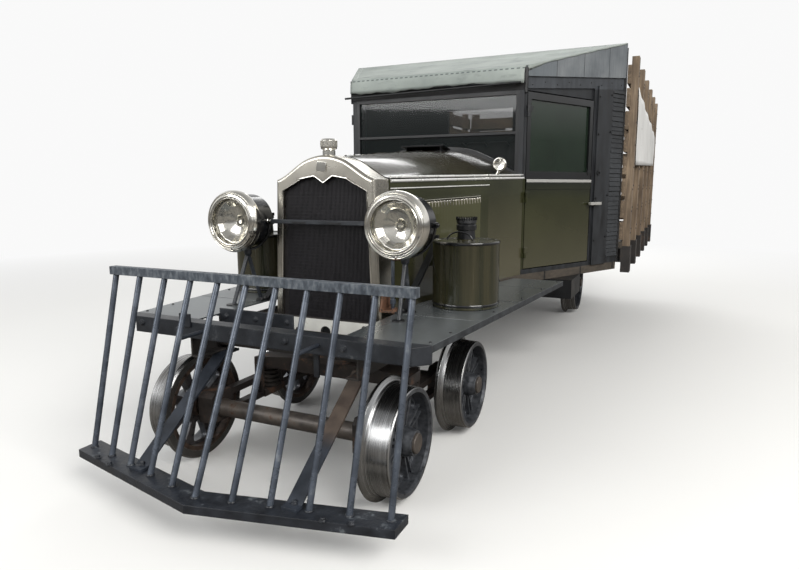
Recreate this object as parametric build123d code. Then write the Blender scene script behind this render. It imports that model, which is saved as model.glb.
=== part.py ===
from build123d import *
import math
import os

# A narrow-gauge rail motor car: the front of a 1920s saloon car on a railway frame,
# with a four-wheel lead truck, a slatted pilot, a flared cab and a stake-sided freight body.
# Millimetres. While it is built, y is measured back from the leading axle and z up from
# the rail top. The front is -Y, the left side is +X.

# Track and wheels
GAUGE = 914.0
FLANGE_PLAY = 30.0
WHEEL_WIDTH = 118.0
FLANGE_DEPTH = 25.0
TRUCK_TREAD_R = 206.0
REAR_TREAD_R = 255.0
AXLE_R = 38.0
TRUCK_WHEELBASE = 730.0
REAR_AXLE_Y = 3800.0
SPOKES = 8

# Frame
FRAME_BOTTOM = 448.0
FRAME_TOP = 556.0
FRAME_HALF_WIDTH = 385.0
FRAME_FLANGE = 50.0
FRAME_METAL = 8.0
FRAME_FRONT_Y = -110.0

# Front deck
DECK_TOP = 610.0
DECK_SHEET = 6.0
DECK_EDGE_DROP = 26.0
DECK_FRONT_HALF = 665.0
DECK_REAR_HALF = 805.0
DECK_REAR_Y = 1470.0
DECK_INNER_FRONT = 335.0
BEAM_DEPTH = 60.0
BEAM_HEIGHT = 64.0
BEAM_CHAMFER = 50.0
DECK_GUSSETS = (840, 1140)

# Pilot
PILOT_HALF = 643.0
PILOT_BARS = 11
PILOT_BAR_R = 11.0
PILOT_TOP_Y = -224.0
PILOT_TOP_Z = 787.0
PILOT_TOP_BAR = 32.0
PILOT_PLATE_TOP = 126.0
PILOT_PLATE_THICK = 30.0
PILOT_END_Y = -385.0
PILOT_NOSE_Y = -528.0
PILOT_MARGIN = 52.0

# Radiator and lamps
RADIATOR_Y = 302.0
RADIATOR_DEPTH = 138.0
SHELL_BOTTOM_HALF = 265.0
SHELL_SHOULDER_HALF = 242.0
SHELL_SHOULDER_Z = 1158.0
SHELL_CREST_Z = 1260.0
SHELL_RIM = 34.0
LAMP_X = 391.0
LAMP_Z = 979.0
LAMP_R = 133.0
LAMP_FRONT_Y = 172.0
LAMP_DEPTH = 200.0
LAMP_DRUM_R = 116.0
LENS_R = 97.0

# Hood and cowl
HOOD_REAR_Y = 1200.0
HOOD_REAR_HALF = 452.0
HOOD_REAR_CREST = 1316.0
HOOD_FRONT_BELT = 1162.0
HOOD_REAR_BELT = 1177.0
HOOD_BOTTOM = 645.0
HOOD_METAL = 4.0
COWL_REAR_Y = 1578.0
COWL_REAR_HALF = 548.0
COWL_REAR_BELT = 1180.0
COWL_REAR_CREST = 1340.0
COWL_METAL = 6.0
LOUVRES = 20
LOUVRE_FIRST = 232.0
LOUVRE_LAST = 686.0
LOUVRE_TOP = 1048.0
LOUVRE_RISE = 0.0313

# Tanks on the deck
TANK_X = 535.0
TANK_Y = 603.0
TANK_R = 145.0
TANK_HEIGHT = 290.0

# Cab
CAB_HINGE_X = 544.0
CAB_HINGE_Y = 1560.0
CAB_FLARE = 26.0
CAB_SIDE_LENGTH = 985.0
CAB_WALL = 42.0
CAB_FLOOR_TOP = 660.0
CAB_FLOOR_THICK = 50.0
WINDSHIELD_HALF = 516.0
WINDSHIELD_TOP = 1655.0
WINDSHIELD_SPLIT = 1425.0
DOOR_START = 24.0
DOOR_END = 656.0
DOOR_BOTTOM = 652.0
DOOR_TOP = 1650.0
PILLAR_WIDTH = 160.0
BELT_Z = 1167.0
WINDOW_BOTTOM = 1212.0
WINDOW_TOP = 1612.0
ROOF_FRONT_Z = 1782.0
ROOF_REAR_Z = 2044.0
ROOF_THICK = 30.0
HEADER_FRONT_Z = 1665.0
HEADER_REAR_Z = 1755.0
HEADER_DEPTH = 64.0
HEADER_PROUD = 12.0
SIDE_BOARD_THICK = 10.0

# Freight body
BED_FRONT_Y = 2480.0
BED_REAR_Y = 5200.0
BED_HALF = 1012.0
BED_FLOOR_TOP = 752.0
BED_FLOOR_THICK = 40.0
STAKE_DEPTH = 45.0
STAKE_WIDTH = 88.0
STAKES = 6
STAKE_TOP = 1964.0
POCKET_HEIGHT = 170.0
SLATS = 8
SLAT_HEIGHT = 118.0
SLAT_THICK = 22.0

# Clearances
SEAT = 0.3
FIT = 0.05
GAP = 6.0
FAR = 4000.0

FLANGE_BACK = GAUGE / 2 - FLANGE_PLAY
PIVOT_Y = TRUCK_WHEELBASE / 2
PILOT_TIP_Y = PILOT_NOSE_Y - PILOT_MARGIN
COUPLER_REACH = 130.0
TAIL_Y = BED_REAR_Y + COUPLER_REACH
MIDDLE_Y = (PILOT_TIP_Y + TAIL_Y) / 2
TO_FRAME = Location((0, -MIDDLE_Y, FLANGE_DEPTH))


def block(x0, x1, y0, y1, z0, z1):
    """A box between two corners."""
    middle = ((x0 + x1) / 2, (y0 + y1) / 2, (z0 + z1) / 2)
    return Pos(*middle) * Box(abs(x1 - x0), abs(y1 - y0), abs(z1 - z0))


def outline(points):
    return make_face(Polyline(*points, close=True))


def plan(points, z0, z1):
    """A plan outline in x and y, raised from z0 to z1."""
    return extrude(Plane((0, 0, z0)) * outline(points), z1 - z0)


def profile_yz(points, x0, x1):
    """A side outline in y and z, from x0 to x1."""
    side = Plane((x0, 0, 0), x_dir=(0, 1, 0), z_dir=(1, 0, 0))
    return extrude(side * outline(points), x1 - x0)


def profile_xz(face, y0, y1):
    """A front outline in x and z, from y0 back to y1."""
    front = Plane((0, y1, 0), x_dir=(1, 0, 0), z_dir=(0, -1, 0))
    return extrude(front * face, y1 - y0)


def rod(start, end, radius):
    path = Vector(*end) - Vector(*start)
    plane = Plane(origin=start, z_dir=path)
    return extrude(plane * Circle(radius), path.length)


def turned(points, axis="X"):
    """A solid of revolution about X or Y from (along, radius) points."""
    if axis == "X":
        return revolve(outline(points), Axis.X)
    swapped = [(radius, along) for along, radius in points]
    return revolve(outline(swapped), Axis.Y)


def mirrored(shape):
    return mirror(shape, Plane.YZ)


def both(shape):
    """The piece and its mirror image on the other side, as separate solids."""
    return Compound(children=list(shape.solids()) + list(mirrored(shape).solids()))


def group(shapes):
    solids = []
    for shape in shapes:
        solids += list(shape.solids())
    return Compound(children=solids)


def save(shape, name):
    export_step(TO_FRAME * shape, "parts/" + name + ".step")


# Wheels and axles
RIM_THICK = 27.0
HUB_R = 54.0
HUB_INNER = FLANGE_BACK + 12
WEB_INNER = FLANGE_BACK + 42
WEB_THICK = 20.0
RIB_HEIGHT = 17.0
WHEEL_OUTER = FLANGE_BACK + WHEEL_WIDTH
HUB_OUTER = WHEEL_OUTER + 14
AXLE_END = HUB_OUTER + 10


def wheel(tread_r):
    """A cast flanged wheel on the left, with twin-ribbed spokes and rounded windows."""
    inner_r = tread_r - RIM_THICK
    tip_r = tread_r + FLANGE_DEPTH
    rim = turned([
        (FLANGE_BACK, inner_r),
        (FLANGE_BACK, tip_r - 7),
        (FLANGE_BACK + 8, tip_r),
        (FLANGE_BACK + 17, tip_r),
        (FLANGE_BACK + 26, tread_r + 8),
        (FLANGE_BACK + 34, tread_r),
        (WHEEL_OUTER - 4, tread_r - 4),
        (WHEEL_OUTER, tread_r - 8),
        (WHEEL_OUTER, inner_r + 4),
        (WHEEL_OUTER - 12, inner_r),
    ])
    hub = turned([
        (HUB_INNER, AXLE_R + FIT),
        (HUB_INNER, HUB_R - 4),
        (WEB_INNER, HUB_R + 4),
        (HUB_OUTER - 30, HUB_R),
        (HUB_OUTER, HUB_R - 8),
        (HUB_OUTER, AXLE_R + FIT),
    ])
    web_face = Circle(inner_r + 2) - Circle(HUB_R - 6)
    step = 360 / SPOKES
    window_in = HUB_R + 24
    window_out = inner_r - 12
    half_in = window_in * math.radians(step) / 2 - 13
    half_out = window_out * math.radians(step) / 2 - 21
    opening = outline([(window_in, -half_in), (window_out, -half_out),
                       (window_out, half_out), (window_in, half_in)])
    opening = fillet(opening.vertices(), min(half_in * 0.8, 14))
    for index in range(SPOKES):
        web_face -= Rot(0, 0, index * step) * opening
    cross = Plane((WEB_INNER, 0, 0), x_dir=(0, 1, 0), z_dir=(1, 0, 0))
    rib_long = inner_r + 1 - HUB_R + 6
    rib_middle = (inner_r + 1 + HUB_R - 6) / 2
    rib_x = WEB_INNER + WEB_THICK + RIB_HEIGHT / 2 - 1
    ribs = []
    for index in range(SPOKES):
        for side in (-1, 1):
            bar = Box(RIB_HEIGHT + 2, rib_long, 9)
            rib = Pos(rib_x, rib_middle, side * 13) * Rot(side * 3.5, 0, 0) * bar
            ribs.append(Rot((index + 0.5) * step, 0, 0) * rib)
    return rim.fuse(hub, extrude(cross * web_face, WEB_THICK), *ribs)


def wheel_pair(left_wheel, tread_r, axle_y):
    return both(Pos(0, axle_y, tread_r) * left_wheel)


def axle(tread_r, axle_y):
    """A plain axle, thicker at the journals and the wheel seats."""
    half = [(0, 0), (0, AXLE_R - 3), (300, AXLE_R - 3), (318, AXLE_R), (AXLE_END - 3, AXLE_R),
            (AXLE_END, AXLE_R - 3), (AXLE_END, 0)]
    shaft = turned(half)
    return Pos(0, axle_y, tread_r) * (shaft + mirrored(shaft))


# Lead truck
JOURNAL_X0 = FLANGE_BACK - 96
JOURNAL_X1 = FLANGE_BACK - 22
SIDE_X0 = FLANGE_BACK - 84
SIDE_X1 = FLANGE_BACK - 44
UPPER_BAR = (238.0, 266.0)
LOWER_BAR = (158.0, 182.0)
COLUMN_HALF = 76.0
BOLSTER_HALF = 60.0
BOLSTER_BOTTOM = 296.0
BOLSTER_TOP = 362.0
CENTRE_PLATE_R = 95.0
CENTRE_PLATE_TOP = 380.0
PIN_R = 24.0


def truck_side():
    """One side frame: two bars between the axle boxes, with columns for the bolster."""
    back = TRUCK_WHEELBASE
    box_half = 66.0
    frame = block(SIDE_X0, SIDE_X1, 0, back, *LOWER_BAR)
    for y in (PIVOT_Y - COLUMN_HALF, PIVOT_Y + COLUMN_HALF):
        frame += block(SIDE_X0, SIDE_X1, y - 8, y + 8, LOWER_BAR[0], BOLSTER_TOP - 14)
    frame += block(SIDE_X0, SIDE_X1, 0, PIVOT_Y - COLUMN_HALF, *UPPER_BAR)
    frame += block(SIDE_X0, SIDE_X1, PIVOT_Y + COLUMN_HALF, back, *UPPER_BAR)
    for y in (0, back):
        box = profile_yz([(y - box_half, 152), (y + box_half, 152), (y + box_half, 262),
                          (y + box_half - 20, 282), (y - box_half + 20, 282), (y - box_half, 262)],
                         JOURNAL_X0, JOURNAL_X1)
        frame += box
    for y in (0, back):
        bore = Rot(0, 90, 0) * Cylinder(AXLE_R + FIT, 120)
        frame -= Pos((JOURNAL_X0 + JOURNAL_X1) / 2, y, TRUCK_TREAD_R) * bore
    frame += block(SIDE_X0 - 10, SIDE_X1 + 6, PIVOT_Y - COLUMN_HALF, PIVOT_Y + COLUMN_HALF, 158, 190)
    return frame


def truck_spring():
    """A coil spring under the bolster's end, as a turned solid with rounded coils."""
    coils = 5
    foot = LOWER_BAR[1] + 8
    height = BOLSTER_BOTTOM - foot
    pitch = height / coils
    half_outline = [(0, 0), (36, 0)]
    for index in range(coils):
        base = index * pitch
        half_outline += [(46, base + pitch * 0.3), (46, base + pitch * 0.7), (36, base + pitch)]
    half_outline.append((0, height))
    section = Plane.XZ * outline(half_outline)
    return Pos((SIDE_X0 + SIDE_X1) / 2, PIVOT_Y, foot) * revolve(section, Axis.Z)


def bolster():
    """The cross beam with the centre plate and the pin that the truck turns on."""
    end = SIDE_X1 + 12
    points = [(-end, BOLSTER_BOTTOM), (end, BOLSTER_BOTTOM), (end, BOLSTER_TOP - 20), (170, BOLSTER_TOP),
              (-170, BOLSTER_TOP), (-end, BOLSTER_TOP - 20)]
    beam = profile_xz(outline(points), PIVOT_Y - BOLSTER_HALF, PIVOT_Y + BOLSTER_HALF)
    plate_plane = Plane((0, PIVOT_Y, BOLSTER_TOP - 1))
    plate = extrude(plate_plane * Circle(CENTRE_PLATE_R), CENTRE_PLATE_TOP - BOLSTER_TOP + 1)
    pin = extrude(Plane((0, PIVOT_Y, CENTRE_PLATE_TOP - 1)) * Circle(PIN_R), 70)
    return beam + plate + pin


# Main frame
CROSS_MEMBERS = [
    # (front y, rear y, bottom z)
    (30, 90, 470),
    (RADIATOR_Y, RADIATOR_Y + RADIATOR_DEPTH, 500),
    (PIVOT_Y + 90, PIVOT_Y + 190, 470),
    (1110, 1170, 470),
    (1300, 1360, 470),
    (2040, 2100, 470),
    (3000, 3060, 470),
    (4400, 4460, 470),
]


def main_frame():
    """Two channel sills, cross members, the truck's centre seat and the rear draft pocket."""
    outer = FRAME_HALF_WIDTH
    length = (FRAME_FRONT_Y, BED_REAR_Y)
    sill = block(outer - FRAME_FLANGE, outer, *length, FRAME_BOTTOM, FRAME_TOP)
    sill -= block(outer - FRAME_FLANGE, outer - FRAME_METAL, length[0] - 1, length[1] + 1,
                  FRAME_BOTTOM + FRAME_METAL, FRAME_TOP - FRAME_METAL)
    frame = sill + mirrored(sill)
    reach = outer - FRAME_METAL / 2
    for front, rear, bottom in CROSS_MEMBERS:
        frame += block(-reach, reach, front, rear, bottom, FRAME_TOP)
    frame += block(-reach, reach, RADIATOR_Y, PIVOT_Y + 70, FRAME_BOTTOM, 500)
    seat_plane = Plane((0, PIVOT_Y, CENTRE_PLATE_TOP + SEAT))
    frame += extrude(seat_plane * Circle(CENTRE_PLATE_R), FRAME_BOTTOM - CENTRE_PLATE_TOP)
    frame -= Pos(0, PIVOT_Y, FRAME_BOTTOM) * Cylinder(PIN_R + FIT, 180)
    return frame + draft_pocket()


def draft_pocket():
    """A plain link-and-pin pocket behind the rear end member."""
    y0 = BED_REAR_Y
    y1 = y0 + COUPLER_REACH
    body = block(-reach_of_end(), reach_of_end(), y0 - 60, y0, 470, FRAME_TOP)
    body += block(-90, 90, y0, y1, 450, FRAME_TOP)
    body -= block(-60, 60, y0 + 40, y1 + 1, 480, 530)
    body -= Pos(0, y0 + 90, 500) * Cylinder(18, 200)
    return body


def reach_of_end():
    return FRAME_HALF_WIDTH - FRAME_METAL / 2


# Front deck
def deck_edge_x(y):
    share = (y - FRAME_FRONT_Y) / (DECK_REAR_Y - FRAME_FRONT_Y)
    return DECK_FRONT_HALF + share * (DECK_REAR_HALF - DECK_FRONT_HALF)


def cowl_half(y):
    """Half the scuttle's width at its foot."""
    share = (y - HOOD_REAR_Y) / (COWL_REAR_Y - HOOD_REAR_Y)
    return HOOD_REAR_HALF + share * (COWL_REAR_HALF - HOOD_REAR_HALF)


def hood_half(y):
    share = (y - RADIATOR_Y) / (HOOD_REAR_Y - RADIATOR_Y)
    return SHELL_BOTTOM_HALF + share * (HOOD_REAR_HALF - SHELL_BOTTOM_HALF)


def front_beam():
    half = DECK_FRONT_HALF
    y0 = FRAME_FRONT_Y - BEAM_DEPTH
    points = [(-half, FRAME_FRONT_Y), (-half, y0 + BEAM_CHAMFER), (-half + BEAM_CHAMFER, y0),
              (half - BEAM_CHAMFER, y0), (half, y0 + BEAM_CHAMFER), (half, FRAME_FRONT_Y)]
    return plan(points, DECK_TOP - BEAM_HEIGHT, DECK_TOP)


def deck_plate():
    """The left deck: a sheet with a turned-down outer and rear edge, on cross ribs and gussets."""
    bend_y = 560.0
    inner_rear = hood_half(DECK_REAR_Y) + 18
    front_edge = deck_edge_x(FRAME_FRONT_Y)
    inner = [(DECK_INNER_FRONT, FRAME_FRONT_Y), (DECK_INNER_FRONT, bend_y), (inner_rear, DECK_REAR_Y)]
    outer = [(DECK_REAR_HALF, DECK_REAR_Y), (front_edge, FRAME_FRONT_Y)]
    under = DECK_TOP - DECK_SHEET
    drop = DECK_TOP - DECK_EDGE_DROP
    plate = plan(inner + outer, under, DECK_TOP)
    plate += plan([(DECK_REAR_HALF, DECK_REAR_Y), (front_edge, FRAME_FRONT_Y),
                   (front_edge - DECK_SHEET, FRAME_FRONT_Y), (DECK_REAR_HALF - DECK_SHEET, DECK_REAR_Y)],
                  drop, under)
    plate += block(inner_rear, DECK_REAR_HALF - 1, DECK_REAR_Y - DECK_SHEET, DECK_REAR_Y, drop, under)
    for y in (60, 480) + DECK_GUSSETS:
        rib_start = DECK_INNER_FRONT + 4 if y < bend_y else hood_half(y) + 22
        plate += block(rib_start, deck_edge_x(y) - 3, y, y + 34, drop, under)
        if hood_half(y) + 22 < FRAME_HALF_WIDTH - 10:
            plate += block(DECK_INNER_FRONT + 4, FRAME_HALF_WIDTH, y, y + 34, FRAME_TOP, drop)
    for y in DECK_GUSSETS:
        tip = deck_edge_x(y) - 60
        root = FRAME_HALF_WIDTH
        points = [(root, FRAME_BOTTOM + 10), (root, drop), (tip, drop), (tip, drop - 18)]
        plate += profile_xz(outline(points), y + 10, y + 18)
    return plate


# Pilot
def pilot_y(x, z):
    """The pilot's leaning face: straight along the top bar, V-shaped at the plate."""
    foot_y = PILOT_NOSE_Y + (PILOT_END_Y - PILOT_NOSE_Y) * abs(x) / PILOT_HALF
    share = (z - PILOT_PLATE_TOP) / (PILOT_TOP_Z - PILOT_PLATE_TOP)
    return foot_y + (PILOT_TOP_Y - foot_y) * share


def pilot_plate():
    half = PILOT_HALF + 34
    back = 46.0
    slope = (PILOT_END_Y - PILOT_NOSE_Y) / PILOT_HALF
    end_y = PILOT_NOSE_Y + slope * half
    points = [(0, PILOT_TIP_Y), (half, end_y - PILOT_MARGIN), (half, end_y + back), (0, PILOT_NOSE_Y + back),
              (-half, end_y + back), (-half, end_y - PILOT_MARGIN)]
    return plan(points, PILOT_PLATE_TOP - PILOT_PLATE_THICK, PILOT_PLATE_TOP)


def pilot_bars():
    """The leaning pipes, cut level at the plate and at the top bar, with the top bar on them."""
    bars = []
    low = PILOT_PLATE_TOP
    high = PILOT_TOP_Z
    slab = block(-2000, 2000, -2000, 2000, low, high)
    for index in range(PILOT_BARS):
        x = PILOT_HALF * (2 * index / (PILOT_BARS - 1) - 1)
        start = (x, pilot_y(x, low - 60), low - 60)
        end = (x, pilot_y(x, high + 60), high + 60)
        bars.append(rod(start, end, PILOT_BAR_R) & slab)
    return pilot_top_bar().fuse(*bars)


def pilot_top_bar():
    half_bar = PILOT_TOP_BAR / 2
    return block(-PILOT_HALF - 18, PILOT_HALF + 18, PILOT_TOP_Y - half_bar, PILOT_TOP_Y + half_bar,
                 PILOT_TOP_Z, PILOT_TOP_Z + PILOT_TOP_BAR)


BRACE_X = 300.0
BRACE_WIDTH = 58.0
BRACE_THICK = 10.0


def pilot_braces():
    """Two flat braces from under the frame to the plate, and two stays to the beam."""
    top_y = 60.0
    foot_y = PILOT_NOSE_Y + (PILOT_END_Y - PILOT_NOSE_Y) * BRACE_X / PILOT_HALF + 20
    points = [
        (top_y - 60, FRAME_BOTTOM), (top_y + 20, FRAME_BOTTOM), (top_y + 20, FRAME_BOTTOM - BRACE_THICK),
        (top_y - 54, FRAME_BOTTOM - BRACE_THICK), (foot_y + 8, PILOT_PLATE_TOP + BRACE_THICK),
        (foot_y + 8, PILOT_PLATE_TOP), (foot_y - 30, PILOT_PLATE_TOP),
        (foot_y - 30, PILOT_PLATE_TOP + BRACE_THICK), (foot_y, PILOT_PLATE_TOP + BRACE_THICK),
    ]
    brace = profile_yz(points, BRACE_X, BRACE_X + BRACE_WIDTH)
    stay_x = PILOT_HALF * 0.4
    stay_z = 580.0
    beam_front = FRAME_FRONT_Y - BEAM_DEPTH
    stay = rod((stay_x, pilot_y(stay_x, stay_z) + 6, stay_z), (stay_x, beam_front, stay_z), 8)
    bar_foot = (stay_x, pilot_y(stay_x, 0), 0)
    bar_head = (stay_x, pilot_y(stay_x, 800), 800)
    stay -= rod(bar_foot, bar_head, PILOT_BAR_R + SEAT)
    return both(group([brace, stay]))


# Radiator
# The arched tops of the shell, the hood and the scuttle, as (share of the half width, share of
# the rise) from the shoulder to the crest
SHELL_ARCH = [(1, 0), (0.93, 0.06), (0.82, 0.19), (0.72, 0.34), (0.62, 0.5), (0.52, 0.65), (0.42, 0.78),
              (0.31, 0.88), (0.16, 0.965), (0, 1)]
HOOD_FRONT_ARCH = [(1, 0), (0.93, 0.05), (0.82, 0.165), (0.72, 0.33), (0.62, 0.495), (0.52, 0.65),
                   (0.42, 0.79), (0.31, 0.885), (0.16, 0.97), (0, 1)]
HOOD_REAR_ARCH = [(1, 0), (0.95, 0.12), (0.889, 0.25), (0.768, 0.5), (0.644, 0.69), (0.518, 0.845),
                  (0.39, 0.93), (0.26, 0.97), (0.13, 0.993), (0, 1)]
COWL_ARCH = [(1, 0), (0.94, 0.08), (0.88, 0.17), (0.79, 0.335), (0.68, 0.52), (0.6, 0.65), (0.516, 0.77),
             (0.405, 0.89), (0.2, 0.97), (0, 1)]


def arch_curve(form, half, belt, crest):
    """The curve of an arched top, from the left shoulder over the crest to the right one."""
    left = [(share * half, belt + rise * (crest - belt)) for share, rise in form]
    right = [(-x, z) for x, z in reversed(left[:-1])]
    return Spline(*left, *right)


def shell_face(inset, bottom):
    """The radiator's front outline: nearly upright sides, angular shoulders, an arched crest."""
    foot = SHELL_BOTTOM_HALF - inset
    shoulder = SHELL_SHOULDER_HALF - inset
    shoulder_z = SHELL_SHOULDER_Z - inset * 0.6
    edges = [
        Line((-foot, bottom), (foot, bottom)),
        Line((foot, bottom), (shoulder, shoulder_z)),
        arch_curve(SHELL_ARCH, shoulder, shoulder_z, SHELL_CREST_Z - inset),
        Line((-shoulder, shoulder_z), (-foot, bottom)),
    ]
    return make_face(edges)


def core_face(clearance, bottom):
    """The opening in the shell, with a V notch pointing down at the middle."""
    foot = SHELL_BOTTOM_HALF - SHELL_RIM - clearance
    side = SHELL_SHOULDER_HALF - SHELL_RIM - clearance
    corner_z = SHELL_SHOULDER_Z - 48 - clearance
    round_z = SHELL_SHOULDER_Z + 4 - clearance
    peak_z = SHELL_SHOULDER_Z + 16 - clearance
    notch_z = SHELL_SHOULDER_Z - 13 - clearance
    return outline([
        (-foot, bottom), (foot, bottom), (side, corner_z), (116, round_z), (46, peak_z), (0, notch_z),
        (-46, peak_z), (-116, round_z), (-side, corner_z),
    ])


def radiator_shell():
    rear = RADIATOR_Y + RADIATOR_DEPTH
    shell = profile_xz(shell_face(0, FRAME_TOP), RADIATOR_Y, rear)
    front = shell.faces().sort_by(Axis.Y)[0]
    front_edges = [edge for edge in front.edges() if edge.center().Z > FRAME_TOP + 1]
    shell = fillet(front_edges, 16)
    shell -= profile_xz(core_face(0, FRAME_TOP - 1), RADIATOR_Y - 1, rear - 40)
    shell -= profile_xz(core_face(-10, FRAME_TOP - 1), rear - 41, rear + 1)
    return shell


def radiator_core():
    return profile_xz(core_face(SEAT, FRAME_TOP), RADIATOR_Y + 22, RADIATOR_Y + RADIATOR_DEPTH - 50)


CAP_Y = RADIATOR_Y + 52


def radiator_cap():
    profile = [(0, 0), (27, 0), (27, 30), (24, 34), (34, 38), (35, 46), (35, 72), (30, 80), (0, 82)]
    cap = revolve(Plane.XZ * outline(profile), Axis.Z)
    neck = Pos(0, CAP_Y, SHELL_CREST_Z - 12) * cap
    return neck - profile_xz(shell_face(-SEAT, FRAME_TOP), RADIATOR_Y, RADIATOR_Y + RADIATOR_DEPTH)


def radiator_apron():
    """The pale apron under the radiator, with the hole for the starting crank."""
    apron = block(-215, 215, RADIATOR_Y - 6, RADIATOR_Y, FRAME_BOTTOM + 4, FRAME_TOP - 2)
    return apron - Pos(0, RADIATOR_Y, 502) * Rot(90, 0, 0) * Cylinder(20, 40)


# Headlamps
LAMP_BAR_Y = LAMP_FRONT_Y + 105


def headlamp_drum():
    """A drum headlamp with a broad stepped rim and a rounded back."""
    front = LAMP_FRONT_Y
    profile = [
        (front, LENS_R), (front - 6, LENS_R + 4), (front - 4, LAMP_R - 14), (front + 6, LAMP_R - 4),
        (front + 16, LAMP_R), (front + 34, LAMP_R), (front + 38, LAMP_DRUM_R),
        (front + LAMP_DEPTH - 55, LAMP_DRUM_R), (front + LAMP_DEPTH - 20, LAMP_DRUM_R - 26),
        (front + LAMP_DEPTH, LAMP_DRUM_R - 66), (front + LAMP_DEPTH, 0),
        (front + 70, 0), (front + 44, LENS_R - 30), (front + 14, LENS_R),
    ]
    return Pos(LAMP_X, 0, LAMP_Z) * turned(profile, "Y")


def headlamp_lens():
    front = LAMP_FRONT_Y
    radius = LENS_R - SEAT
    profile = [(front - 3, 0), (front - 1, radius * 0.6), (front + 3, radius), (front + 11, radius),
               (front + 8, radius * 0.6), (front + 6, 0)]
    return Pos(LAMP_X, 0, LAMP_Z) * turned(profile, "Y")


def lamp_mounts():
    """The flat bar between the lamps and, under each lamp, a socket on an A-shaped stand."""
    bar = block(-LAMP_X, LAMP_X, LAMP_BAR_Y - 8, LAMP_BAR_Y + 8, LAMP_Z - 9, LAMP_Z + 9)
    keep_out = Pos(LAMP_X, 0, LAMP_Z) * rod((0, 0, 0), (0, 600, 0), LAMP_DRUM_R + SEAT)
    bar = bar - keep_out - mirrored(keep_out)
    top = (LAMP_X, LAMP_BAR_Y, LAMP_Z - LAMP_DRUM_R - 30)
    stand = rod(top, (LAMP_X, LAMP_BAR_Y, LAMP_Z - LAMP_DRUM_R + 14), 17)
    stand += rod((LAMP_X + 16, 175, DECK_TOP - 20), top, 9)
    stand += rod((LAMP_X - 12, 352, DECK_TOP - 20), top, 9)
    stand += Pos(*top) * Sphere(17)
    stand -= keep_out
    stand -= block(0, 800, 0, 800, DECK_TOP - 90, DECK_TOP + SEAT)
    return group([bar, both(stand)])


# Tanks and straps
def water_tank():
    """An upright tank with a seam round its top and a capped filler neck."""
    height = TANK_HEIGHT
    profile = [(0, 0), (TANK_R - 3, 0), (TANK_R, 3), (TANK_R, height - 6), (TANK_R - 4, height - 2),
               (TANK_R - 10, height - 6), (40, height - 2), (37, height + 40), (44, height + 42),
               (44, height + 62), (38, height + 68), (44, height + 72), (42, height + 92), (0, height + 94)]
    tank = revolve(Plane.XZ * outline(profile), Axis.Z)
    return both(Pos(TANK_X, TANK_Y, DECK_TOP) * tank)


STRAP_X = 338.0
STRAP_WIDTH = 28.0
STRAP_END_Y = 707.0
STRAP_END_Z = 888.0


def deck_straps():
    """A flat stay on each side, from the deck beside the radiator back and up to the hood's side."""
    y0 = 290.0
    y1 = STRAP_END_Y - 7
    z1 = STRAP_END_Z - 16
    thick = 8.0
    points = [(y0, DECK_TOP), (y0 + 62, DECK_TOP), (y1 + 14, z1 - 6), (y1 + 14, z1 + 34), (y1, z1 + 34),
              (y1, z1), (y0 + 48, DECK_TOP + thick), (y0, DECK_TOP + thick)]
    strap = profile_yz(points, STRAP_X, STRAP_X + STRAP_WIDTH)
    strap += rod((STRAP_X + 2, STRAP_END_Y, STRAP_END_Z), (HOOD_FRONT_HALF, STRAP_END_Y, STRAP_END_Z), 7)
    plane, length = side_plane()
    inside = plane * extrude(outline([(0, 0), (length, 0), (length, 1500), (0, 1500)]), -300)
    return strap - Pos(*(plane.z_dir * SEAT)) * inside


def hood_half_at(y):
    front_y = RADIATOR_Y + RADIATOR_DEPTH
    share = (y - front_y) / (HOOD_REAR_Y - front_y)
    return HOOD_FRONT_HALF + share * (HOOD_REAR_HALF - HOOD_FRONT_HALF)


# Hood and cowl
HOOD_FRONT_Y = RADIATOR_Y + RADIATOR_DEPTH
HOOD_FRONT_HALF = SHELL_SHOULDER_HALF + 4.0


def arch_face(form, half, belt, crest, bottom, inset):
    """A hood or cowl section: upright sides from the bottom to the belt and an arched top."""
    side = half - inset
    edges = [arch_curve(form, side, belt, crest - inset), Line((-side, bottom), (side, bottom))]
    if bottom < belt:
        edges.append(Line((side, bottom), (side, belt)))
        edges.append(Line((-side, belt), (-side, bottom)))
    return make_face(edges)


def arch_loft(y0, front, y1, rear):
    """A loft between two sections given as (form, half width, belt, crest, bottom, inset)."""
    faces = []
    for y, section in ((y0, front), (y1, rear)):
        place = Plane((0, y, 0), x_dir=(1, 0, 0), z_dir=(0, -1, 0))
        faces.append(place * arch_face(*section))
    return loft(faces, ruled=True)


HINGE_R = 6.0
SLEEVE_R = 10.0
LEFT_KNUCKLES = (520.0, 800.0, 1080.0)
RIGHT_KNUCKLES = (600.0, 880.0, 1140.0)


def hood_top(knuckles):
    """The left top panel of the hood, from the middle hinge to the belt, with its hinge sleeves."""
    start = HOOD_FRONT_Y + GAP
    end = HOOD_REAR_Y - GAP
    front = (HOOD_FRONT_ARCH, HOOD_FRONT_HALF, HOOD_FRONT_BELT, SHELL_CREST_Z, HOOD_FRONT_BELT)
    rear = (HOOD_REAR_ARCH, HOOD_REAR_HALF, HOOD_REAR_BELT, HOOD_REAR_CREST, HOOD_REAR_BELT)
    panel = arch_loft(start, front + (0,), end, rear + (0,))
    panel -= arch_loft(start, front + (HOOD_METAL,), end, rear + (HOOD_METAL,))
    panel &= block(SLEEVE_R + GAP, FAR, 0, FAR, 0, FAR)
    for y in knuckles:
        panel += rod(hinge_point(y - 24), hinge_point(y + 24), SLEEVE_R)
        z = hood_hinge_z(y)
        panel += block(4, SLEEVE_R + GAP + 24, y - 20, y + 20, z - 2, z + 4)
    return panel - rod(hinge_point(0), hinge_point(2000), HINGE_R + FIT)


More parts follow.
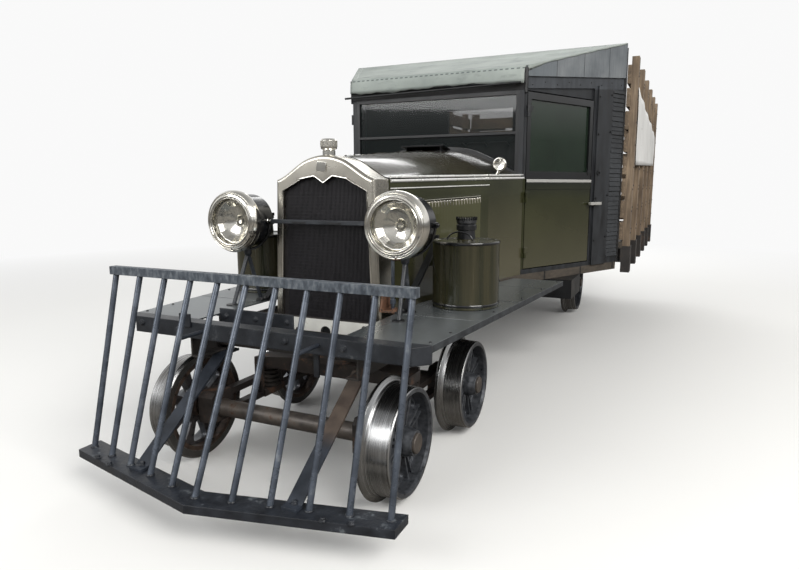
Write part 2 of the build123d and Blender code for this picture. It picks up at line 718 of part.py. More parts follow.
def hood_hinge_z(y):
    """The hinge rod's height, just under the line of the hood's crest."""
    share = (y - HOOD_FRONT_Y - GAP) / (HOOD_REAR_Y - HOOD_FRONT_Y - 2 * GAP)
    return SHELL_CREST_Z + share * (HOOD_REAR_CREST - SHELL_CREST_Z) - HINGE_R


def hinge_point(y):
    return 0, y, hood_hinge_z(y)


def hood_hinge():
    """The rod along the hood's crest, between the radiator shell and the scuttle."""
    between = block(-50, 50, HOOD_FRONT_Y, HOOD_REAR_Y, 1000, 1500)
    return rod(hinge_point(0), hinge_point(2000), HINGE_R) & between


BEAD = 7.0
THIN_BEAD = 4.0


def side_plane():
    """The plane of the hood's left side: along the panel, up, and outward."""
    start = Vector(HOOD_FRONT_HALF, HOOD_FRONT_Y, 0)
    end = Vector(HOOD_REAR_HALF, HOOD_REAR_Y, 0)
    along = (end - start).normalized()
    outward = Vector(along.Y, -along.X, 0)
    return Plane(origin=start, x_dir=along, z_dir=outward), (end - start).length


def louvre_top(along):
    return LOUVRE_TOP + LOUVRE_RISE * along


def hood_side():
    """The left side panel with its bead and its row of upright louvres."""
    plane, length = side_plane()
    top_front = HOOD_FRONT_BELT - GAP
    top_rear = HOOD_REAR_BELT - GAP
    sheet = [(-9, FRAME_TOP + 4), (length + 9, HOOD_BOTTOM), (length + 9, top_rear), (-9, top_front)]
    bead = [(-9, top_front - 41), (length + 9, top_rear - 41),
            (length + 9, top_rear - 33), (-9, top_front - 33)]
    panel = plane * extrude(outline(sheet), -HOOD_METAL)
    panel += plane * extrude(outline(bead), THIN_BEAD)
    pitch = (LOUVRE_LAST - LOUVRE_FIRST) / (LOUVRES - 1)
    low = 760.0
    flat = Plane(origin=plane.origin + Vector(0, 0, low), x_dir=plane.x_dir, z_dir=(0, 0, -1))
    for index in range(LOUVRES):
        place = LOUVRE_FIRST + index * pitch
        ridge = outline([(place, 0), (place + pitch * 0.62, 0), (place + pitch * 0.5, 9)])
        panel += extrude(flat * ridge, low - louvre_top(place))
    lip_start = LOUVRE_FIRST - 26
    lip_end = LOUVRE_LAST + 14
    lip = outline([(lip_start, louvre_top(lip_start) + 9), (lip_end, louvre_top(lip_end) + 9),
                   (lip_end, louvre_top(lip_end) + 19), (lip_start, louvre_top(lip_start) + 19)])
    panel += plane * Pos(0, 0, -1) * extrude(lip, 9)
    pad = (STRAP_END_Y - HOOD_FRONT_Y) / plane.x_dir.Y
    panel -= plane * Pos(pad, STRAP_END_Z, 10) * Box(34, 22, 20)
    return panel & block(0, 900, HOOD_FRONT_Y, HOOD_REAR_Y, 400, 1500)


def cowl_body(inset, y0=HOOD_REAR_Y):
    """The scuttle's outer form, smaller by inset, from the floor up."""
    bottom = CAB_SILL_Z - inset
    front = (HOOD_REAR_ARCH, HOOD_REAR_HALF, HOOD_REAR_BELT, HOOD_REAR_CREST, bottom, inset)
    rear = (COWL_ARCH, COWL_REAR_HALF, COWL_REAR_BELT, COWL_REAR_CREST, bottom, inset)
    body = arch_loft(HOOD_REAR_Y, front, COWL_REAR_Y, rear)
    if y0 > HOOD_REAR_Y:
        body &= block(-900, 900, y0, COWL_REAR_Y + 1, 0, 1600)
    return body


def behind_cowl():
    """All that lies behind the front edge of the left cab side."""
    return flared(-SEAT, FAR, 0, FAR, -FAR / 4, FAR)


def cowl():
    """A hollow scuttle from the hood to the windshield, with its front wall and its instrument board."""
    inside = cowl_body(COWL_METAL, HOOD_REAR_Y + COWL_METAL)
    shell = cowl_body(0) - inside
    shell += inside & block(-900, 900, COWL_REAR_Y - 70, COWL_REAR_Y - 52, BELT_Z - 90, 1600)
    return shell - behind_cowl() - mirrored(behind_cowl())


def cowl_vent():
    """The raised ventilator lid on the scuttle, on two thin side cheeks."""
    half = 130.0
    y0 = HOOD_REAR_Y + 170
    y1 = y0 + 120
    front = HOOD_REAR_CREST + 36
    rear = HOOD_REAR_CREST + 18
    foot = HOOD_REAR_CREST - 36
    lid = profile_yz([(y0, front), (y1, rear), (y1, rear + 8), (y0, front + 8)], -half, half)
    cheek = profile_yz([(y0 + 20, foot), (y1, foot), (y1, rear + 3), (y0 + 20, front)],
                       -half + 20, -half + 26)
    return lid + mirrored(cheek) + cheek - cowl_body(-SEAT)


# Cab
CAB_SILL_Z = CAB_FLOOR_TOP - 40
FLARE = math.radians(CAB_FLARE)
ALONG = Vector(math.sin(FLARE), math.cos(FLARE), 0)
OUTWARD = Vector(math.cos(FLARE), -math.sin(FLARE), 0)
SIDE_ORIGIN = (CAB_HINGE_X, CAB_HINGE_Y, 0)
SIDE = Plane(origin=SIDE_ORIGIN, x_dir=ALONG, z_dir=OUTWARD)


def flared(s0, s1, z0, z1, t0, t1):
    """A box in the plane of the left cab side: along it, up, and outward from its face."""
    return SIDE * Pos((s0 + s1) / 2, (z0 + z1) / 2, (t0 + t1) / 2) * Box(s1 - s0, z1 - z0, t1 - t0)


def side_point(s, t=0.0):
    point = Vector(*SIDE_ORIGIN) + ALONG * s + OUTWARD * t
    return point.X, point.Y


REAR_X, REAR_Y = side_point(CAB_SIDE_LENGTH)
SIDE_END = CAB_SIDE_LENGTH + CAB_WALL
PILLAR_START = DOOR_END + GAP + 2
ROOF_FRONT_Y = CAB_HINGE_Y - 10
HINGE_S = DOOR_START - 4
HINGE_T = 9.0
KNUCKLE_R = 8.0
HINGE_HEIGHTS = (760.0, 1080.0, 1560.0)


def above_roof(drop=0.0):
    """All that lies above the roof's underside, lowered by drop."""
    start = (ROOF_FRONT_Y, ROOF_FRONT_Z - ROOF_THICK - drop)
    rise = (ROOF_REAR_Z - ROOF_FRONT_Z) / (REAR_Y + BULKHEAD_THICK - ROOF_FRONT_Y)
    points = [(start[0] - FAR, start[1] - FAR * rise), (start[0] + FAR, start[1] + FAR * rise),
              (start[0] + FAR, 3 * FAR), (start[0] - FAR, 3 * FAR)]
    return profile_yz(points, -FAR, FAR)


def header_z(s):
    """The height of the header's lower edge, which rises towards the rear."""
    return HEADER_FRONT_Z + (HEADER_REAR_Z - HEADER_FRONT_Z) * s / CAB_SIDE_LENGTH


def header():
    """The sloping header over the door, proud of the boards behind it."""
    low = HEADER_FRONT_Z - GAP
    back = flared(0, SIDE_END, low, FAR, -CAB_WALL, -HEADER_PROUD)
    face = outline([(0, header_z(0)), (SIDE_END, header_z(SIDE_END)), (SIDE_END, FAR), (0, FAR)])
    return back + SIDE * Pos(0, 0, -HEADER_PROUD - 1) * extrude(face, HEADER_PROUD + 1)


def corner_post():
    """The upright beside the windshield, standing on the scuttle's shoulder."""
    x0 = WINDSHIELD_HALF + SEAT
    post = block(x0, CAB_HINGE_X - 2, SCREEN_Y0, CAB_HINGE_Y + 8, BELT_Z, WINDSHIELD_TOP)
    return post - cowl_body(-SEAT)


def cab_side():
    """The fixed part of the left side: door post, sill, header, rear pillar and black filler panel."""
    low = CAB_SILL_Z
    wall = flared(0, DOOR_START - GAP, low, header_z(DOOR_START), -CAB_WALL, 0)
    wall += flared(PILLAR_START, SIDE_END, low, header_z(SIDE_END), -CAB_WALL, 0)
    wall += flared(0, SIDE_END, low, DOOR_BOTTOM - GAP, -CAB_WALL, 0)
    pillar = PILLAR_START + 26
    raised = flared(pillar, pillar + PILLAR_WIDTH, low, header_z(pillar + PILLAR_WIDTH), -1, 12)
    wall += raised + corner_post() + header()
    x, y = side_point(HINGE_S, HINGE_T)
    for z in HINGE_HEIGHTS:
        wall += rod((x, y, z - 45), (x, y, z - 15 - SEAT), KNUCKLE_R)
        wall += flared(0, HINGE_S, z - 45, z - 15 - SEAT, -1, 4)
    wall -= block(-FAR, FAR, REAR_Y, REAR_Y + FAR, 0, FAR)
    return wall - above_roof()


def door():
    """The left door: a panelled lower half with a bead, and a window frame, hinged at its front edge."""
    leaf = flared(DOOR_START, DOOR_END, DOOR_BOTTOM, DOOR_TOP, -CAB_WALL + 4, 0)
    leaf -= flared(DOOR_START + 30, DOOR_END - 30, WINDOW_BOTTOM, WINDOW_TOP, -CAB_WALL, 10)
    leaf -= flared(DOOR_START + 22, DOOR_END - 22, WINDOW_BOTTOM - 8, WINDOW_TOP + 8, -22, -14)
    leaf += flared(DOOR_START, DOOR_END, BELT_Z - 17, BELT_Z, -1, BEAD)
    leaf += flared(DOOR_START, DOOR_END, BELT_Z - 58, BELT_Z - 23, -1, THIN_BEAD)
    x, y = side_point(HINGE_S, HINGE_T)
    for z in HINGE_HEIGHTS:
        leaf += rod((x, y, z - 15), (x, y, z + 15), KNUCKLE_R)
        leaf += flared(HINGE_S, DOOR_START + 40, z - 15, z + 15, -1, 4)
    handle_s = DOOR_END - 26
    handle_z = 1018.0
    leaf += SIDE * Pos(handle_s, handle_z, 16) * Cylinder(9, 34)
    leaf += flared(handle_s - 12, handle_s + 106, handle_z - 9, handle_z + 9, 26, 38)
    return leaf


def door_glass():
    edge = 22 + SEAT
    rebate = 8 - SEAT
    return flared(DOOR_START + edge, DOOR_END - edge, WINDOW_BOTTOM - rebate, WINDOW_TOP + rebate,
                  -22 + SEAT, -14 - SEAT)


SCREEN_Y0 = COWL_REAR_Y - 34
SCREEN_Y1 = COWL_REAR_Y - 4


def windshield_frame():
    """A two-pane frame that stands on the scuttle, with its cross rail."""
    half = WINDSHIELD_HALF
    rail = 7.0
    frame = block(-half, half, SCREEN_Y0, SCREEN_Y1, 1100, WINDSHIELD_TOP) - cowl_body(-SEAT)
    pane = block(-half + 20, half - 20, SCREEN_Y0 - 1, SCREEN_Y1 + 1, 1100, WINDSHIELD_TOP - 22)
    pane -= cowl_body(-22)
    cross = (WINDSHIELD_SPLIT - rail, WINDSHIELD_SPLIT + rail)
    pane -= block(-half, half, SCREEN_Y0 - 2, SCREEN_Y1 + 2, *cross)
    frame -= pane
    frame -= block(-FAR, FAR, SCREEN_Y0 - 9, SCREEN_Y1 + 9, 0, COWL_REAR_BELT)
    return frame - behind_cowl() - mirrored(behind_cowl())


def cab_glass():
    """The windshield's two panes and the pane of the rear window."""
    half = WINDSHIELD_HALF - 20 - SEAT
    middle = (SCREEN_Y0 + SCREEN_Y1) / 2
    rail = 7.0 + SEAT
    panes = block(-half, half, middle - 3, middle + 3, 1100, WINDSHIELD_TOP - 22 - SEAT)
    panes -= cowl_body(-22 - SEAT)
    panes -= block(-FAR, FAR, SCREEN_Y0, SCREEN_Y1, 0, COWL_REAR_BELT)
    panes -= block(-FAR, FAR, middle - 4, middle + 4, WINDSHIELD_SPLIT - rail, WINDSHIELD_SPLIT + rail)
    window_half, window_low, window_high = BULKHEAD_WINDOW
    rear = block(-window_half + SEAT, window_half - SEAT, REAR_Y + 12, REAR_Y + 18,
                 window_low + SEAT, window_high - SEAT)
    return group([panes, rear])


BULKHEAD_WINDOW = (242.0, 1502.0, 1676.0)
BULKHEAD_THICK = 30.0


def bulkhead():
    """The boarded wall between cab and freight body, with a low wide window."""
    half = REAR_X + 14
    rear = REAR_Y + BULKHEAD_THICK
    window_half, window_low, window_high = BULKHEAD_WINDOW
    wall = block(-half, half, REAR_Y + SEAT, rear, CAB_SILL_Z, FAR)
    wall -= block(-window_half, window_half, REAR_Y - 1, rear + 1, window_low, window_high)
    return wall - above_roof()


def cab_floor():
    """The floor boards on their bearers, with the box that the bench stands on."""
    low = CAB_SILL_Z - CAB_FLOOR_THICK
    left = [(cowl_half(HOOD_REAR_Y), HOOD_REAR_Y), (cowl_half(CAB_HINGE_Y - 30), CAB_HINGE_Y - 30),
            (CAB_HINGE_X, CAB_HINGE_Y), (REAR_X, REAR_Y), (REAR_X, REAR_Y + BULKHEAD_THICK)]
    right = [(-x, y) for x, y in reversed(left)]
    floor = plan(left + right, low, CAB_SILL_Z)
    for y in (1310, 1700, 2200):
        floor += block(-FRAME_HALF_WIDTH, FRAME_HALF_WIDTH, y, y + 60, FRAME_TOP, low)
    floor += block(-SEAT_HALF, SEAT_HALF, SEAT_FRONT_Y + 20, REAR_Y - 20, CAB_SILL_Z, SEAT_BOX_TOP)
    return floor


def wall_x(y):
    """Where the outer face of the left side lies at y."""
    return CAB_HINGE_X + (y - CAB_HINGE_Y) * math.tan(FLARE)


def cab_roof():
    """The fabric-covered roof: a low wedge between the side boards, wider and higher at the rear."""
    rear = REAR_Y + BULKHEAD_THICK
    front_x = wall_x(ROOF_FRONT_Y)
    rear_x = wall_x(REAR_Y - SEAT)
    corners = [(-front_x, ROOF_FRONT_Y), (front_x, ROOF_FRONT_Y), (rear_x, REAR_Y - SEAT), (rear_x, rear),
               (-rear_x, rear), (-rear_x, REAR_Y - SEAT)]
    return (plan(corners, 0, FAR) & above_roof()) - above_roof(-ROOF_THICK)


def roof_side_board():
    """The weathered board above each header, deeper towards the rear, which covers the roof's edge."""
    low = header_z(0) + HEADER_DEPTH
    high = header_z(SIDE_END) + HEADER_DEPTH
    face = SIDE * outline([(0, low), (SIDE_END, high), (SIDE_END, FAR), (0, FAR)])
    board = Pos(*(OUTWARD * SEAT)) * extrude(face, SIDE_BOARD_THICK)
    return board - block(-FAR, FAR, REAR_Y - 1, REAR_Y + FAR, 0, FAR) - above_roof(-ROOF_THICK)


def visor():
    """The dark board under the roof's front edge, sloping out over the windshield."""
    half = CAB_HINGE_X + 4
    low = WINDSHIELD_TOP + SEAT
    front = SCREEN_Y0 - 20
    points = [(SCREEN_Y0 + 4, low), (SCREEN_Y1 + 4, low), (SCREEN_Y1 + 4, FAR), (front, FAR),
              (front, ROOF_FRONT_Z - 84), (front + 14, ROOF_FRONT_Z - 88)]
    return profile_yz(points, -half, half) - above_roof(SEAT) - behind_cowl() - mirrored(behind_cowl())


SEAT_FRONT_Y = REAR_Y - 560
SEAT_HALF = 560.0
SEAT_BOX_TOP = 880.0


def seat():
    """The bench on its box: a cushion and an upright back."""
    low = SEAT_BOX_TOP + SEAT
    cushion = block(-SEAT_HALF, SEAT_HALF, SEAT_FRONT_Y, REAR_Y - 110, low, low + 130)
    cushion = fillet(cushion.edges().filter_by(Axis.X), 30)
    back = block(-SEAT_HALF, SEAT_HALF, REAR_Y - 105, REAR_Y - 10, low, low + 560)
    back = fillet(back.edges().filter_by(Axis.X), 30)
    return group([cushion, back])


def engine_block():
    """The engine as one plain block at its place, on two cross members."""
    return block(-150, 150, RADIATOR_Y + RADIATOR_DEPTH + 70, HOOD_REAR_Y - 40, FRAME_TOP, 1120)


def side_boxes():
    """A plain box on each side of the frame, under the cab floor."""
    return block(FRAME_HALF_WIDTH + SEAT, 800, 1790, 2110, 455, CAB_SILL_Z - CAB_FLOOR_THICK - SEAT)


def cowl_lamps():
    """A small lamp on each shoulder of the scuttle, on a short stem."""
    front_y = HOOD_REAR_Y + 62
    x = cowl_half(front_y) + 20
    z = HOOD_REAR_BELT + 66
    shell = [(front_y, 26), (front_y, 34), (front_y + 10, 36), (front_y + 40, 32), (front_y + 62, 14),
             (front_y + 66, 0), (front_y + 6, 0)]
    lamp = Pos(x, 0, z) * turned(shell, "Y")
    stem = rod((x, front_y + 30, z - 18), (x - 26, front_y + 30, z - 63), 9)
    return lamp + (stem - cowl_body(-SEAT))


# Freight body
STAKE_PITCH = (BED_REAR_Y - BED_FRONT_Y - 130) / (STAKES - 1)
SILL_TOP = BED_FLOOR_TOP - BED_FLOOR_THICK
SILL_BOTTOM = 612.0


def stake_y(index):
    return BED_FRONT_Y + 65 + index * STAKE_PITCH


def bed_frame():
    """Cross bearers on the frame, steel side sills and a riveted pocket for each stake."""
    length = (BED_FRONT_Y, BED_REAR_Y)
    sill = block(BED_HALF - 60, BED_HALF, *length, SILL_BOTTOM, SILL_TOP)
    sill -= block(BED_HALF - 61, BED_HALF - 8, length[0] - 1, length[1] + 1, SILL_BOTTOM + 8, SILL_TOP - 8)
    frame = sill + mirrored(sill)
    for index in range(STAKES):
        y = stake_y(index)
        frame += block(-BED_HALF + 4, BED_HALF - 4, y - 30, y + 30, SILL_BOTTOM, SILL_TOP)
        frame += block(-FRAME_HALF_WIDTH, FRAME_HALF_WIDTH, y - 30, y + 30, FRAME_TOP, SILL_BOTTOM)
        width = STAKE_WIDTH / 2 + 8
        hollow = STAKE_WIDTH / 2 + 1
        low = SILL_TOP - POCKET_HEIGHT
        pocket = block(BED_HALF - 4, BED_HALF + STAKE_DEPTH + 9, y - width, y + width, low, SILL_TOP + 10)
        pocket -= block(BED_HALF, BED_HALF + STAKE_DEPTH + 1, y - hollow, y + hollow, low + 8, SILL_TOP + 11)
        pocket -= block(BED_HALF - 9, BED_HALF, y - width - 1, y + width + 1, SILL_TOP, SILL_TOP + 11)
        frame += pocket + mirrored(pocket)
    return frame


def bed_floor():
    return block(-BED_HALF, BED_HALF, BED_FRONT_Y, BED_REAR_Y, SILL_TOP, BED_FLOOR_TOP)


def side_rack():
    """One side of the freight body: upright stakes, the slats inside them, and the gate's pin brackets."""
    x0 = BED_HALF + SEAT
    low = SILL_TOP - POCKET_HEIGHT + 8
    pitch = (STAKE_TOP - BED_FLOOR_TOP - 40) / SLATS
    half = STAKE_WIDTH / 2
    pieces = []
    for index in range(STAKES):
        y = stake_y(index)
        pieces.append(block(x0, x0 + STAKE_DEPTH, y - half, y + half, low, STAKE_TOP))
    for index in range(SLATS):
        z = BED_FLOOR_TOP + 14 + index * pitch
        pieces.append(block(x0 - SLAT_THICK, x0, BED_FRONT_Y + 6, BED_REAR_Y - 6, z, z + SLAT_HEIGHT))
    corner = stake_y(STAKES - 1) + half
    for z in GATE_HINGES:
        foot = z - 48
        head = z - 18 - SEAT
        pieces.append(rod((GATE_PIN_X, GATE_PIN_Y, foot), (GATE_PIN_X, GATE_PIN_Y, head), GATE_KNUCKLE_R))
        pieces.append(block(GATE_PIN_X + 4, x0 + 20, GATE_PIN_Y - 6, GATE_PIN_Y + 6, foot, head))
        pieces.append(block(x0 + 6, x0 + 20, corner - 1, GATE_PIN_Y + 6, foot, head))
    return pieces[0].fuse(*pieces[1:])


GATE_THICK = 30.0
GATE_PIN_X = BED_HALF - 12
GATE_PIN_Y = BED_REAR_Y + GAP + GATE_THICK
GATE_KNUCKLE_R = 9.0
GATE_HINGES = (900.0, 1790.0)


def rear_gate():
    """The left rear gate: slats on two uprights, with strap hinges to the corner of the rack."""
    inner_x = 8.0
    outer_x = BED_HALF - SLAT_THICK - 14
    pitch = (STAKE_TOP - BED_FLOOR_TOP - 40) / SLATS
    face = BED_REAR_Y + GAP
    pieces = []
    for x in (inner_x, outer_x - STAKE_WIDTH):
        pieces.append(block(x, x + STAKE_WIDTH, face, GATE_PIN_Y, BED_FLOOR_TOP + 10, STAKE_TOP))
    for index in range(SLATS):
        z = BED_FLOOR_TOP + 14 + index * pitch
        pieces.append(block(inner_x, outer_x, face - SLAT_THICK, face, z, z + SLAT_HEIGHT))
    for z in GATE_HINGES:
        pieces.append(block(outer_x - 400, GATE_PIN_X, GATE_PIN_Y, GATE_PIN_Y + 5, z - 18, z + 18))
        foot = (GATE_PIN_X, GATE_PIN_Y, z - 18)
        pieces.append(rod(foot, (GATE_PIN_X, GATE_PIN_Y, z + 18), GATE_KNUCKLE_R))
    return pieces[0].fuse(*pieces[1:])


def rear_suspension():
    """Leaf springs under the frame with axle boxes on the driven axle."""
    y = REAR_AXLE_Y
    z0 = REAR_TREAD_R
    body = block(JOURNAL_X0, JOURNAL_X1, y - 70, y + 70, z0 - 60, z0 + 62)
    for index, half in enumerate((200, 300, 400, 500)):
        low = z0 + 62 + index * 10
        body += block(JOURNAL_X0 + 4, JOURNAL_X1 - 4, y - half, y + half, low, low + 10)
    for reach in (-480, 480):
        middle = y + reach
        body += block(JOURNAL_X0 + 14, JOURNAL_X1 - 14, middle - 15, middle + 15, z0 + 102, FRAME_BOTTOM)
    return body - Pos(JOURNAL_X0 + 30, y, z0) * Rot(0, 90, 0) * Cylinder(AXLE_R + FIT, 200)


def build():
    os.makedirs("parts", exist_ok=True)
    truck_wheel = wheel(TRUCK_TREAD_R)
    rear_wheel = wheel(REAR_TREAD_R)
    for name, axle_y, tread_r, left_wheel in (("front", 0.0, TRUCK_TREAD_R, truck_wheel),
                                              ("second", TRUCK_WHEELBASE, TRUCK_TREAD_R, truck_wheel),
                                              ("rear", REAR_AXLE_Y, REAR_TREAD_R, rear_wheel)):
        save(wheel_pair(left_wheel, tread_r, axle_y), "wheels_" + name)
        save(axle(tread_r, axle_y), "axle_" + name)
    left_door = door()
    left_glass = door_glass()
    left_gate = rear_gate()
    pieces = {
        "truck_side_frames": both(truck_side()),
        "truck_springs": both(truck_spring()),
        "truck_bolster": bolster(),
        "main_frame": main_frame(),
        "front_beam": front_beam(),
        "deck_plates": both(deck_plate()),
        "pilot_plate": pilot_plate(),
        "pilot_bars": pilot_bars(),
        "pilot_braces": pilot_braces(),
        "radiator_shell": radiator_shell(),
        "radiator_core": radiator_core(),
        "radiator_cap": radiator_cap(),
        "radiator_apron": radiator_apron(),
        "headlamp_drums": both(headlamp_drum()),
        "headlamp_lenses": both(headlamp_lens()),
        "lamp_mounts": lamp_mounts(),
        "water_tanks": water_tank(),
        "deck_straps": both(deck_straps()),
        "hood_sides": both(hood_side()),
        "hood_top_left": hood_top(LEFT_KNUCKLES),
        "hood_top_right": mirrored(hood_top(RIGHT_KNUCKLES)),
        "hood_hinge": hood_hinge(),
        "engine_block": engine_block(),
        "cowl": cowl(),
        "cowl_vent": cowl_vent(),
        "cowl_lamps": both(cowl_lamps()),
        "windshield_frame": windshield_frame(),
        "cab_glass": cab_glass(),
        "cab_sides": both(cab_side()),
        "door_left": left_door,
        "door_right": mirrored(left_door),
        "door_glass_left": left_glass,
        "door_glass_right": mirrored(left_glass),
        "bulkhead": bulkhead(),
        "cab_floor": cab_floor(),
        "cab_roof": cab_roof(),
        "roof_side_boards": both(roof_side_board()),
        "visor": visor(),
        "seat": seat(),
        "side_boxes": both(side_boxes()),
        "bed_frame": bed_frame(),
        "bed_floor": bed_floor(),
        "side_racks": both(side_rack()),
        "gate_left": left_gate,
        "gate_right": mirrored(left_gate),
        "rear_suspension": both(rear_suspension()),
    }
    for name, shape in pieces.items():
        save(shape, name)


build()
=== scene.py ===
import random
from math import copysign, cos, exp, pi, radians, sin, tau

import bmesh
import bpy
from mathutils import Matrix, Vector


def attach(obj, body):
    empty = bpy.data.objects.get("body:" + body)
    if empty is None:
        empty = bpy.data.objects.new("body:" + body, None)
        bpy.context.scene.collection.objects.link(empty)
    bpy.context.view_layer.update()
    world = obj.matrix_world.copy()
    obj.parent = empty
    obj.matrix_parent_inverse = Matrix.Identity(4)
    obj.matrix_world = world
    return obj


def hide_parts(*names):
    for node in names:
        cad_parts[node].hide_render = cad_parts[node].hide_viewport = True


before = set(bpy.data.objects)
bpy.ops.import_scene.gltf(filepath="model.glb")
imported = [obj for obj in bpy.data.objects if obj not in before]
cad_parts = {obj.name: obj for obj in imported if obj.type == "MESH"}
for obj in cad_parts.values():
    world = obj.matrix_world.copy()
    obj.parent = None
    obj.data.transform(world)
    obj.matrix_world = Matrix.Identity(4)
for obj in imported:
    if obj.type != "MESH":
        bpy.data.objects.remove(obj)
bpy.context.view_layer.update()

# The car's own measures, in metres: y back from the leading axle, z up from the rail top
MIDDLE_Y = 2.375
FLANGE = 0.025
FLARE = radians(26.0)
DOOR_ALONG = Vector((sin(FLARE), cos(FLARE), 0))
DOOR_OUT = Vector((cos(FLARE), -sin(FLARE), 0))
DOOR_ORIGIN = Vector((0.544, 1.560, 0))
BELT_Z = 1.167
FRONT_WHEEL_R = 0.206
REAR_WHEEL_R = 0.255
SECOND_AXLE_Y = 0.730
REAR_AXLE_Y = 3.800
LAMP_X = 0.391
LAMP_Z = 0.979
LAMP_FRONT = 0.172
LENS_R = 0.097
HOOD_FRONT = Vector((0.246, 0.440))
HOOD_REAR = Vector((0.452, 1.200))
HOOD_LENGTH = (HOOD_REAR - HOOD_FRONT).length
LOUVRES = 20
LOUVRE_FIRST = 0.232
LOUVRE_LAST = 0.686
LOUVRE_PITCH = (LOUVRE_LAST - LOUVRE_FIRST) / (LOUVRES - 1)
LOUVRE_TOP = 1.048
LOUVRE_RISE = 0.0313
SEAM_Z = 1.770
PILOT_BAR_Z = 0.7865
DECK_TOP = 0.610
DECK_EDGE = [(-0.110, 0.665), (1.470, 0.805)]
TANK_R = 0.145
TANK_TOP = 0.9025
STAKES = 6
STAKE_FIRST = 2.545
STAKE_PITCH = 0.518
OLIVE = ((37, 39, 23), (54, 56, 34))
BROWN = ((34, 32, 24), (52, 49, 37))
SIDES = ((1, "left"), (-1, "right"))
BACK = (0, 1, 0)
FORWARD = (0, -1, 0)
UP = (0, 0, 1)


def at(x, y, z):
    """A point of the car in the frame's coordinates."""
    return Vector((x, y - MIDDLE_Y, z + FLANGE))


def on_side(s, z, t, side=1):
    """A point s along the flared cab side, z up, t outward from its face."""
    point = DOOR_ORIGIN + DOOR_ALONG * s + DOOR_OUT * t
    return at(side * point.x, point.y, z)


def outward(side):
    """The way out from a flared cab side."""
    return on_side(0, 0, 1, side) - on_side(0, 0, 0, side)


def along_hood(distance, z, out, side):
    """A point on the hood's side: distance back from the radiator, z up, out from the panel."""
    along = (HOOD_REAR - HOOD_FRONT).normalized()
    point = HOOD_FRONT + along * distance + Vector((along.y, -along.x)) * out
    return at(side * point.x, point.y, z)


def hood_run(shares, z, rise, out, side):
    """Points at shares of the hood's length, higher by rise at its rear."""
    return [along_hood(HOOD_LENGTH * share, z + rise * share, out, side) for share in shares]


def linked(name, data):
    """A new object in the scene."""
    made = bpy.data.objects.new(name, data)
    bpy.context.scene.collection.objects.link(made)
    return made


def turns(count):
    """Angles of as many equal steps round a circle."""
    return [tau * index / count for index in range(count)]


def arc(center, across, up, start, end, step):
    """Points on an upright oval that faces forward, by degrees."""
    angles = [radians(turn) for turn in range(start, end + 1, step)]
    return [center + Vector((across * cos(turn), 0, up * sin(turn))) for turn in angles]


def tone(red, green, blue):
    """A colour as seen, 0 to 255, as the shader's four linear values."""
    linear = []
    for value in (red, green, blue):
        share = value / 255
        linear.append(share / 12.92 if share <= 0.04045 else ((share + 0.055) / 1.055) ** 2.4)
    return (*linear, 1)


def full(color):
    """Four linear values of a colour that is given as seen or as those four."""
    return color if len(color) == 4 else tone(*color)


# Shader builder
class Nodes:
    """Short calls for a node tree. A colour is three numbers as seen, 0 to 255, or four linear ones."""

    def __init__(self, tree):
        self.tree = tree
        tree.nodes.clear()

    def feed(self, socket, value):
        """Join another node's output to an input, or set it."""
        if isinstance(value, bpy.types.NodeSocket):
            self.tree.links.new(value, socket)
        else:
            socket.default_value = full(value) if socket.type == "RGBA" else value

    def add(self, kind, feeds=(), **settings):
        """A node with its inputs fed in order, or by number or name from a dictionary."""
        node = self.tree.nodes.new("ShaderNode" + kind)
        for key, value in settings.items():
            setattr(node, key, value)
        for key, value in feeds.items() if isinstance(feeds, dict) else enumerate(feeds):
            self.feed(node.inputs[key], value)
        return node

    def stops(self, factor, table):
        """A colour picked from a table of (place, colour)."""
        node = self.add("ValToRGB", [factor])
        elements = node.color_ramp.elements
        while len(elements) < len(table):
            elements.new(0.5)
        for element, (place, color) in zip(elements, table):
            element.position = place
            element.color = full(color)
        return node.outputs["Color"]


